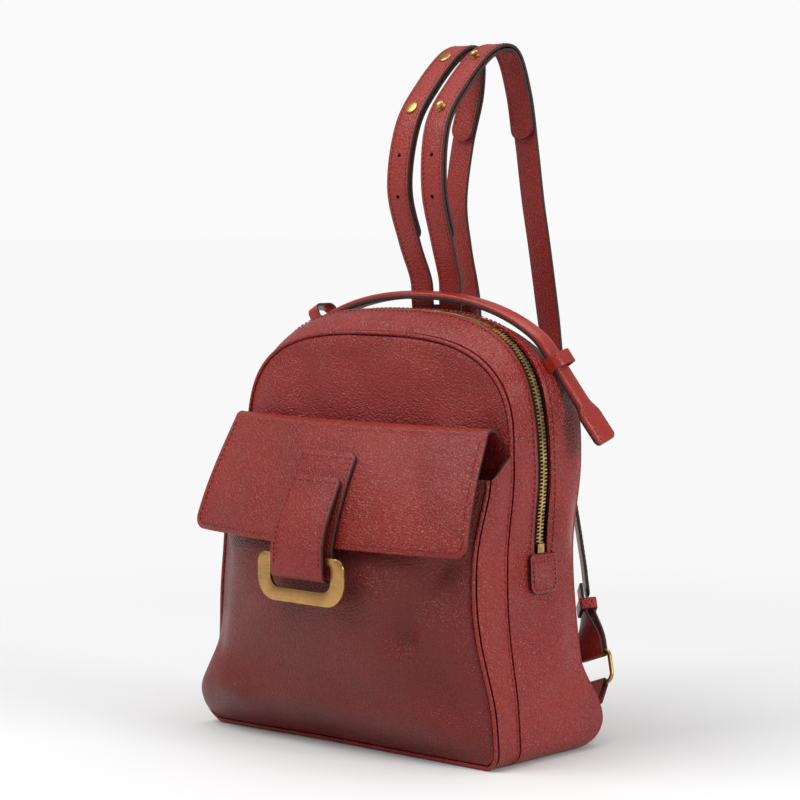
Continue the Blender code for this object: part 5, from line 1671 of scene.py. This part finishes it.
@dataclass
class ShoulderStrap:
    """One shoulder strap: two layers, studs, punched holes, and the fixed lower end with its ring."""

    palette: Palette
    side: float
    word: str
    body: Body
    width: float = 0.020
    thick: float = 0.0022
    step: float = 0.0017
    layer: tuple = (0.107, 0.484)
    studs_at: tuple = (0.255, 0.332)
    holes_at: tuple = (0.158, 0.201)
    tail_top: tuple = (0.0862, 0.0948, 0.1025)
    tail_low: tuple = (0.1040, 0.0830, 0.0580)
    chape_foot: tuple = (0.1085, 0.0640, 0.0250)
    hole: float = 0.0015
    turn: float = 48.0
    turn_at: tuple = (0.300, 0.170, 0.088, 0.064)
    wire: float = 0.0015
    loop_wide: float = 0.0265
    loop_high: float = 0.0220
    keeper_wide: float = 0.008
    chape_wide: float = 0.014

    # radius and height in mm of the turned studs: flat caps on the left strap, balls on the right
    FLAT = ((0, -0.4), (4.2, -0.4), (4.8, 0.1), (4.7, 0.8), (4.0, 1.15), (2.0, 1.35), (0, 1.4))
    BALL = ((0, -0.4), (3.1, -0.4), (3.2, 0.0), (2.0, 0.35), (1.6, 0.7), (2.0, 1.2), (3.0, 2.0), (3.2, 2.9),
            (2.6, 3.8), (1.4, 4.4), (0, 4.6))

    ROUTE = ((0.0130, 0.0365, 0.3040), (0.0135, 0.0352, 0.3200), (0.0152, 0.0250, 0.3460),
             (0.0160, 0.0140, 0.3830), (0.0140, 0.0200, 0.4260), (0.0140, 0.0415, 0.4550),
             (0.0145, 0.0700, 0.4790), (0.0165, 0.0915, 0.4800), (0.0220, 0.0985, 0.4520),
             (0.0300, 0.0965, 0.4150), (0.0360, 0.0965, 0.3740), (0.0370, 0.1030, 0.3400),
             (0.0365, 0.1130, 0.2950), (0.0420, 0.1160, 0.2450), (0.0580, 0.1110, 0.1800),
             (0.0780, 0.1000, 0.1250), (0.0850, 0.0955, 0.1060))

    # where the strap goes on under the yoke, and between the layers of its fixed tail
    ROOT = ((0.0130, 0.0385, 0.2800), (0.0130, 0.0378, 0.2920))
    END = ((0.0885, 0.0935, 0.0960),)

    def route(self, count: int) -> Array:
        """The strap's middle line: a Catmull-Rom curve through the route's points."""
        points = np.concatenate([self.ROOT, self.ROUTE, self.END])
        curve = curve_through(points, np.linspace(0.0, 1.0, 24, endpoint=False), 2.0 * points[0] - points[1],
                              2.0 * points[-1] - points[-2])
        curve = np.concatenate([curve, points[-1:]])
        return resample(curve, count) * np.array([self.side, 1.0, 1.0]) + np.array([0.0, ZIP_PLANE, 0.0])

    def axes(self, path: Array) -> tuple[Array, Array]:
        """Across and outward directions of a strap that stays as level as it can."""
        tangent = heading(path)
        wide = square_to(tangent, X_AXIS)
        out = np.cross(wide, tangent) * self.side
        sign = -1.0 if out[len(out) // 8, 1] > 0.0 else 1.0
        falling = np.where(np.arange(len(path)) > len(path) * 0.55, path[:, 2], 1.0)
        wide = self.twist(wide, tangent, falling)
        return wide, np.cross(wide, tangent) * self.side * sign

    def tip(self, steps: Array, first: float, last: float) -> Array:
        """Width factor that rounds the two ends off with radii first and last."""
        scale = np.ones(len(steps))
        for end, radius in ((steps, first), (steps[-1] - steps, last)):
            scale = scale - corner_cut(end, 0.0, radius) / (self.width / 2.0)
        return np.maximum(scale, 0.08)

    def bend(self) -> tuple:
        """From the swing axis, where the strap stays with the bag, to 20 mm away, where it swings whole."""
        x, y, z = self.ROUTE[0]
        start = np.array([x * self.side, y + ZIP_PLANE, z])
        away = unit(np.array([0.25 * self.side, 0.93, 0.28]))
        return Body.SHELL, self.body, tuple(start), tuple(start + away * 0.020)

    def twist(self, wide: Array, tangent: Array, height: Array) -> Array:
        """Turn the strap about its own run, most between the hip and the keeper."""
        hip, full, held, flat = self.turn_at
        share = ease(-height, -hip, -full) * (1.0 - ease(-height, -held, -flat))
        angle = math.radians(self.turn) * share * self.side
        other = np.cross(tangent, wide)
        other *= np.sign(other[:, 1:2] + 1e-9)
        return wide * np.cos(angle)[:, None] - other * np.sin(angle)[:, None]

    def strip(self, name: str, path: Array, wide: Array, ends: tuple[float, float]) -> Piece:
        """A flat strap with painted edges along a path, its ends rounded."""
        steps = travelled(path)
        close = np.array([0.0, 0.2, 0.7, 1.5, 2.6, 4.2, 6.2]) * MM
        fine = np.unique(np.concatenate([close, np.linspace(8.0 * MM, steps[-1] - 8.0 * MM, len(path)),
                                         steps[-1] - close]))
        both = read_rows(fine, steps, np.concatenate([path, wide], 1))
        profile = slab(self.width, self.thick, 0.7 * MM)
        return sweep(name, both[:, :3], both[:, 3:], profile, [self.palette.strap, self.palette.edge],
                     scale=self.tip(fine, *ends), edge_from=0.94)

    def punch(self, obj: Piece, places: Sequence[Array], axes: Sequence[Array]) -> None:
        """Cut round holes through a strap."""
        shape = bmesh.new()
        for place, axis in zip(places, axes):
            turn = Vector((0, 0, 1)).rotation_difference(Vector(axis)).to_matrix().to_4x4()
            turn.translation = Vector(place)
            bmesh.ops.create_cone(shape, cap_ends=True, segments=20, radius1=self.hole, radius2=self.hole,
                                  depth=8.0 * MM, matrix=turn)
        mesh = bpy.data.meshes.new("punch")
        shape.to_mesh(mesh)
        shape.free()
        mesh.materials.append(self.palette.edge)
        cutter = bpy.data.objects.new("punch", mesh)
        bpy.context.scene.collection.objects.link(cutter)
        cut = obj.modifiers.new("holes", "BOOLEAN")
        cut.operation, cut.solver, cut.object, cut.material_mode = "DIFFERENCE", "EXACT", cutter, "TRANSFER"
        settle(obj, 50.0)
        bpy.data.objects.remove(cutter, do_unlink=True)

    def build(self) -> None:
        """Make the strap's moving part and its fixed lower end."""
        count = 320
        path = self.route(count)
        wide, out = self.axes(path)
        outer = path + out * self.step
        inner = path - out * self.step
        long_layer = self.strip(f"strap_long_{self.word}_leather", outer, wide, (0.0, 6.0 * MM))
        holes = [round(share * (count - 1)) for share in self.holes_at]
        first, last = (round(share * (count - 1)) for share in self.layer)
        short = self.strip(f"strap_short_{self.word}_leather", inner[first:last + 1], wide[first:last + 1],
                           (7.0 * MM, 8.0 * MM))
        for obj in (long_layer, short):
            self.punch(obj, [path[spot] for spot in holes], [out[spot] for spot in holes])
        mount(long_layer, Slot.STRAP, nodes=(f"strap_long_{self.word}",), bend=self.bend())
        mount(short, Slot.STRAP, nodes=(f"strap_short_{self.word}",), bend=self.bend())
        inset = self.width / 2.0 - 2.6 * MM
        lift = self.thick / 2.0 + 0.02 * MM
        runs = []
        for line, sign, span in ((outer, 1.0, slice(6, -8)), (inner, -1.0, slice(first + 5, last - 5))):
            base = (line + out * sign * lift)[span]
            runs += [(base + wide[span] * inset, out[span] * sign),
                     (base - wide[span] * inset, out[span] * sign)]
        mount(stitching(f"strap_stitching_{self.word}", runs, self.palette.thread, STRAP_STITCH), Slot.STRAP,
              bend=self.bend())
        for number, share in enumerate(self.studs_at, 1):
            spot = round(share * (count - 1))
            foot = outer[spot] + out[spot] * (self.thick / 2.0 + 0.1 * MM)
            profile = np.array(self.BALL if self.side > 0.0 else self.FLAT) * MM
            mount(lathe(f"strap_stud_{self.word}_{number}_brass", profile, foot, out[spot],
                        [self.palette.brass]), Slot.BRASS, self.body, (f"strap_stud_{self.word}_{number}",))
        self.build_lower_end()

    def folded(self, start: Array, bar: Array, along: Array, out: Array, radius: float, back: float) -> Array:
        """From start to the bar, round it by half a turn, and back for a length."""
        turn = np.linspace(0.0, math.pi, 15)[:, None]
        bend = bar + radius * (np.cos(turn) * out + np.sin(turn) * along)
        straight = np.linspace(0.0, 1.0, 20, endpoint=False)[:, None]
        there = (start + out * radius) * (1.0 - straight) + bend[0] * straight
        home = bend[-1] - along * back * np.linspace(0.0, 1.0, 20)[1:, None]
        return np.concatenate([there, bend, home])

    def build_lower_end(self) -> None:
        """Tail folded round the ring, its keeper, the wire ring and the chape."""
        flip, base = np.array([self.side, 1.0, 1.0]), np.array([0.0, ZIP_PLANE, 0.0])
        top, low = np.array(self.tail_top) * flip + base, np.array(self.tail_low) * flip + base
        along = unit(low - top)
        wide = square_to(along, X_AXIS)
        out = np.cross(wide, along)
        out *= np.sign(out[1])
        reach = self.wire + GAP + self.thick / 2.0
        fold = self.folded(top, low, along, -out, reach, 0.036)
        turned = self.twist(np.tile(wide, (len(fold), 1)), np.tile(along, (len(fold), 1)), fold[:, 2])
        centre = low + ((fold - low) @ along)[:, None] * along
        aside = fold - centre
        normal = np.cross(turned, along)
        normal *= np.sign((normal * out).sum(1, keepdims=True))
        fold = centre + normal * (aside @ out)[:, None]
        mount(self.strip(f"strap_tail_{self.word}_leather", fold, turned, (0.0, 4.0 * MM)), Slot.STRAP,
              Body.SHELL, (f"strap_tail_{self.word}",))
        half_wide = self.width / 2.0 + 0.8 * MM + THIN / 2.0
        half_deep = reach + self.thick / 2.0 + 2.0 * GAP + THIN / 2.0
        loop = rounded_outline(2.0 * half_wide, 2.0 * half_deep, 1.4 * MM, 1.4 * MM, 5)
        place = low - along * 0.034
        flat_wide = self.twist(wide[None], along[None], place[None, 2])[0]
        flat_out = np.cross(flat_wide, along)
        flat_out *= np.sign(flat_out @ out)
        ring = place + flat_wide * loop[:, :1] + flat_out * loop[:, 1:]
        mount(sweep(f"strap_keeper_{self.word}_leather", ring, along, slab(self.keeper_wide, THIN, 0.5 * MM),
                    [self.palette.strap, self.palette.edge], closed=True, edge_from=0.93), Slot.STRAP,
              Body.SHELL, (f"strap_keeper_{self.word}",))
        loop = rounded_outline(self.loop_wide, self.loop_high, 6.0 * MM, 4.0 * MM, 8)
        loop = resample(np.concatenate([loop, loop[:1]]), 81)[:-1]
        ring = low + along * self.loop_high / 2.0 + wide * loop[:, :1] - along * loop[:, 1:]
        mount(sweep(f"lower_ring_{self.word}_brass", ring, out, cord_outline(self.wire, 4),
                    [self.palette.brass], closed=True), Slot.BRASS, Body.SHELL, (f"lower_ring_{self.word}",))
        bar, foot = low + along * self.loop_high, np.array(self.chape_foot) * flip + base
        rise = (bar - foot) - ((bar - foot) @ wide) * wide
        length = float(np.linalg.norm(rise))
        rise /= length
        face = np.cross(wide, rise)
        face *= np.sign(face[1])
        fold = self.folded(bar - rise * length, bar, rise, face, self.wire + GAP + THIN / 2.0, length)
        mount(sweep(f"ring_chape_{self.word}_leather", fold, wide, slab(self.chape_wide, THIN, 0.5 * MM),
                    [self.palette.strap, self.palette.edge], edge_from=0.93), Slot.STRAP, Body.SHELL,
              (f"ring_chape_{self.word}",))


@dataclass
class BackFittings:
    """Yoke that holds both straps at the top of the back, and a dark stud on each side."""

    palette: Palette
    shell: Shell
    half: float = 0.030
    corner: float = 0.008
    stud: tuple = (0.113, 0.214)

    # radius and height in mm of the domed stud
    DOME = ((0, 0), (5.5, 0), (5.5, 1.2), (5.0, 2.6), (3.9, 3.9), (2.2, 4.7), (0, 4.95))

    def build(self) -> None:
        """Make the yoke with its stitching and the two domed studs."""
        low, high = (np.array(corner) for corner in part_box("strap_yoke"))
        z = low[2] + (high[2] - low[2]) * (1.0 + spread(30)) / 2.0
        cut = corner_cut(z - low[2], 0.0, self.corner)
        across = spread(36)
        x = across[None] * (self.half - cut)[:, None]
        height = np.broadcast_to(z[:, None], x.shape)
        flat = np.minimum(height, BACK_TOP - 0.012)
        y = self.shell.back_skin(x, x / SHOULDER_HALF, flat) + THIN + 3.0 * GAP + 4.2 * MM
        grid = np.stack([x, y, height], 2)
        yoke = sheet("strap_yoke_leather", grid, THIN, [self.palette.strap, self.palette.edge],
                     soft=0.35 * MM)
        mount(yoke, Slot.STRAP, Body.SHELL, ("strap_yoke",))
        rows = [(line + np.array([aside * MM, 0.1 * MM, 0.0]), Y_AXIS)
                for line, aside in ((grid[4:, 3], 0.4), (grid[4:, -4], -0.4), (grid[6, 3:-3], 0.0))]
        mount(stitching("yoke_stitching", rows, self.palette.thread, YOKE_STITCH), Slot.STRAP, Body.SHELL)
        for side, word in ((-1.0, "left"), (1.0, "right")):
            x, z = np.array(side * self.stud[0]), np.array(self.stud[1])
            across = x / half_width(z, BACK_TOP)
            foot = np.array([float(x), float(self.shell.back_skin(x, across, z)) - 0.2 * MM, float(z)])
            dome = lathe(f"back_stud_{word}_dome", np.array(self.DOME) * MM, foot, Y_AXIS,
                         [self.palette.black_metal])
            mount(dome, Slot.BRASS, Body.SHELL, (f"back_stud_{word}",))


@dataclass
class Studio:
    """Pale floor, soft lights and the camera."""

    palette: Palette
    floor_reach: float = 30.0
    floor_z: float = -0.0002
    sky: float = 0.42
    lens: float = 112.5
    eye: tuple = (1.1616, -1.2991, 0.3633)
    eye_back: tuple = (0.66733, -0.74115, 0.07324)

    # name, place, width in metres and power in watts of each soft box
    BOXES = (("key", (-0.75, -1.35, 2.25), 1.8, 56.0), ("side", (2.2, 0.2, 1.1), 0.9, 28.0),
             ("top", (0.2, 0.4, 2.4), 1.6, 20.0))

    def light(self, name: str, place: tuple, size: float, power: float,
              target: tuple = (0.0, 0.0, 0.2)) -> None:
        """A square soft box that faces a target."""
        lamp = bpy.data.lights.new(name, "AREA")
        lamp.size, lamp.energy = size, power
        obj = bpy.data.objects.new(name, lamp)
        obj.location = place
        obj.rotation_euler = (Vector(target) - Vector(place)).to_track_quat("-Z", "Y").to_euler()
        bpy.context.scene.collection.objects.link(obj)

    def build(self) -> None:
        """Set the floor, the sky, the soft boxes and the camera."""
        turns = ((-1, -1), (1, -1), (1, 1), (-1, 1))
        corners = np.array([(x * self.floor_reach, y * self.floor_reach, self.floor_z) for x, y in turns])
        floor = new_mesh("studio_floor", corners, [(0, 1, 2, 3)], [self.palette.ground])
        bpy.context.scene.view_settings.view_transform = "Standard"
        world = bpy.data.worlds.new("studio")
        bpy.context.scene.world = world
        world.use_nodes = True
        tree = world.node_tree
        ground = tree.nodes["Background"]
        ground.inputs["Color"].default_value = linear("FFFFFF")
        ground.inputs["Strength"].default_value = self.sky
        seen = node(tree, "ShaderNodeBackground", {"Color": linear("FAFAFA"), "Strength": 1.0})
        path = node(tree, "ShaderNodeLightPath")
        both = node(tree, "ShaderNodeMixShader", links={0: path.outputs["Is Camera Ray"],
                                                        1: ground.outputs[0], 2: seen.outputs[0]})
        tree.links.new(both.outputs[0], tree.nodes["World Output"].inputs["Surface"])
        for box in self.BOXES:
            self.light(*box)
        camera = bpy.data.cameras.new("camera")
        camera.lens, camera.sensor_width = self.lens, 36.0
        obj = bpy.data.objects.new("camera", camera)
        obj.location = self.eye
        obj.rotation_euler = Vector(self.eye_back).to_track_quat("Z", "Y").to_euler()
        bpy.context.scene.collection.objects.link(obj)
        bpy.context.scene.camera = obj


def main() -> None:
    """Build every sub-assembly in order."""
    logging.basicConfig(level=logging.INFO, format="%(message)s")
    palette = Palette()
    shell = Shell(palette)
    shell.build()
    Pocket(palette).build()
    flap = Flap(palette, shell)
    flap.build()
    Closure(palette, flap).build()
    Zip(palette).build()
    Handle(palette).build()
    ShoulderStrap(palette, -1.0, "left", Body.STRAP_LEFT).build()
    ShoulderStrap(palette, 1.0, "right", Body.STRAP_RIGHT).build()
    BackFittings(palette, shell).build()
    Studio(palette).build()


if __name__ == "__main__":
    main()
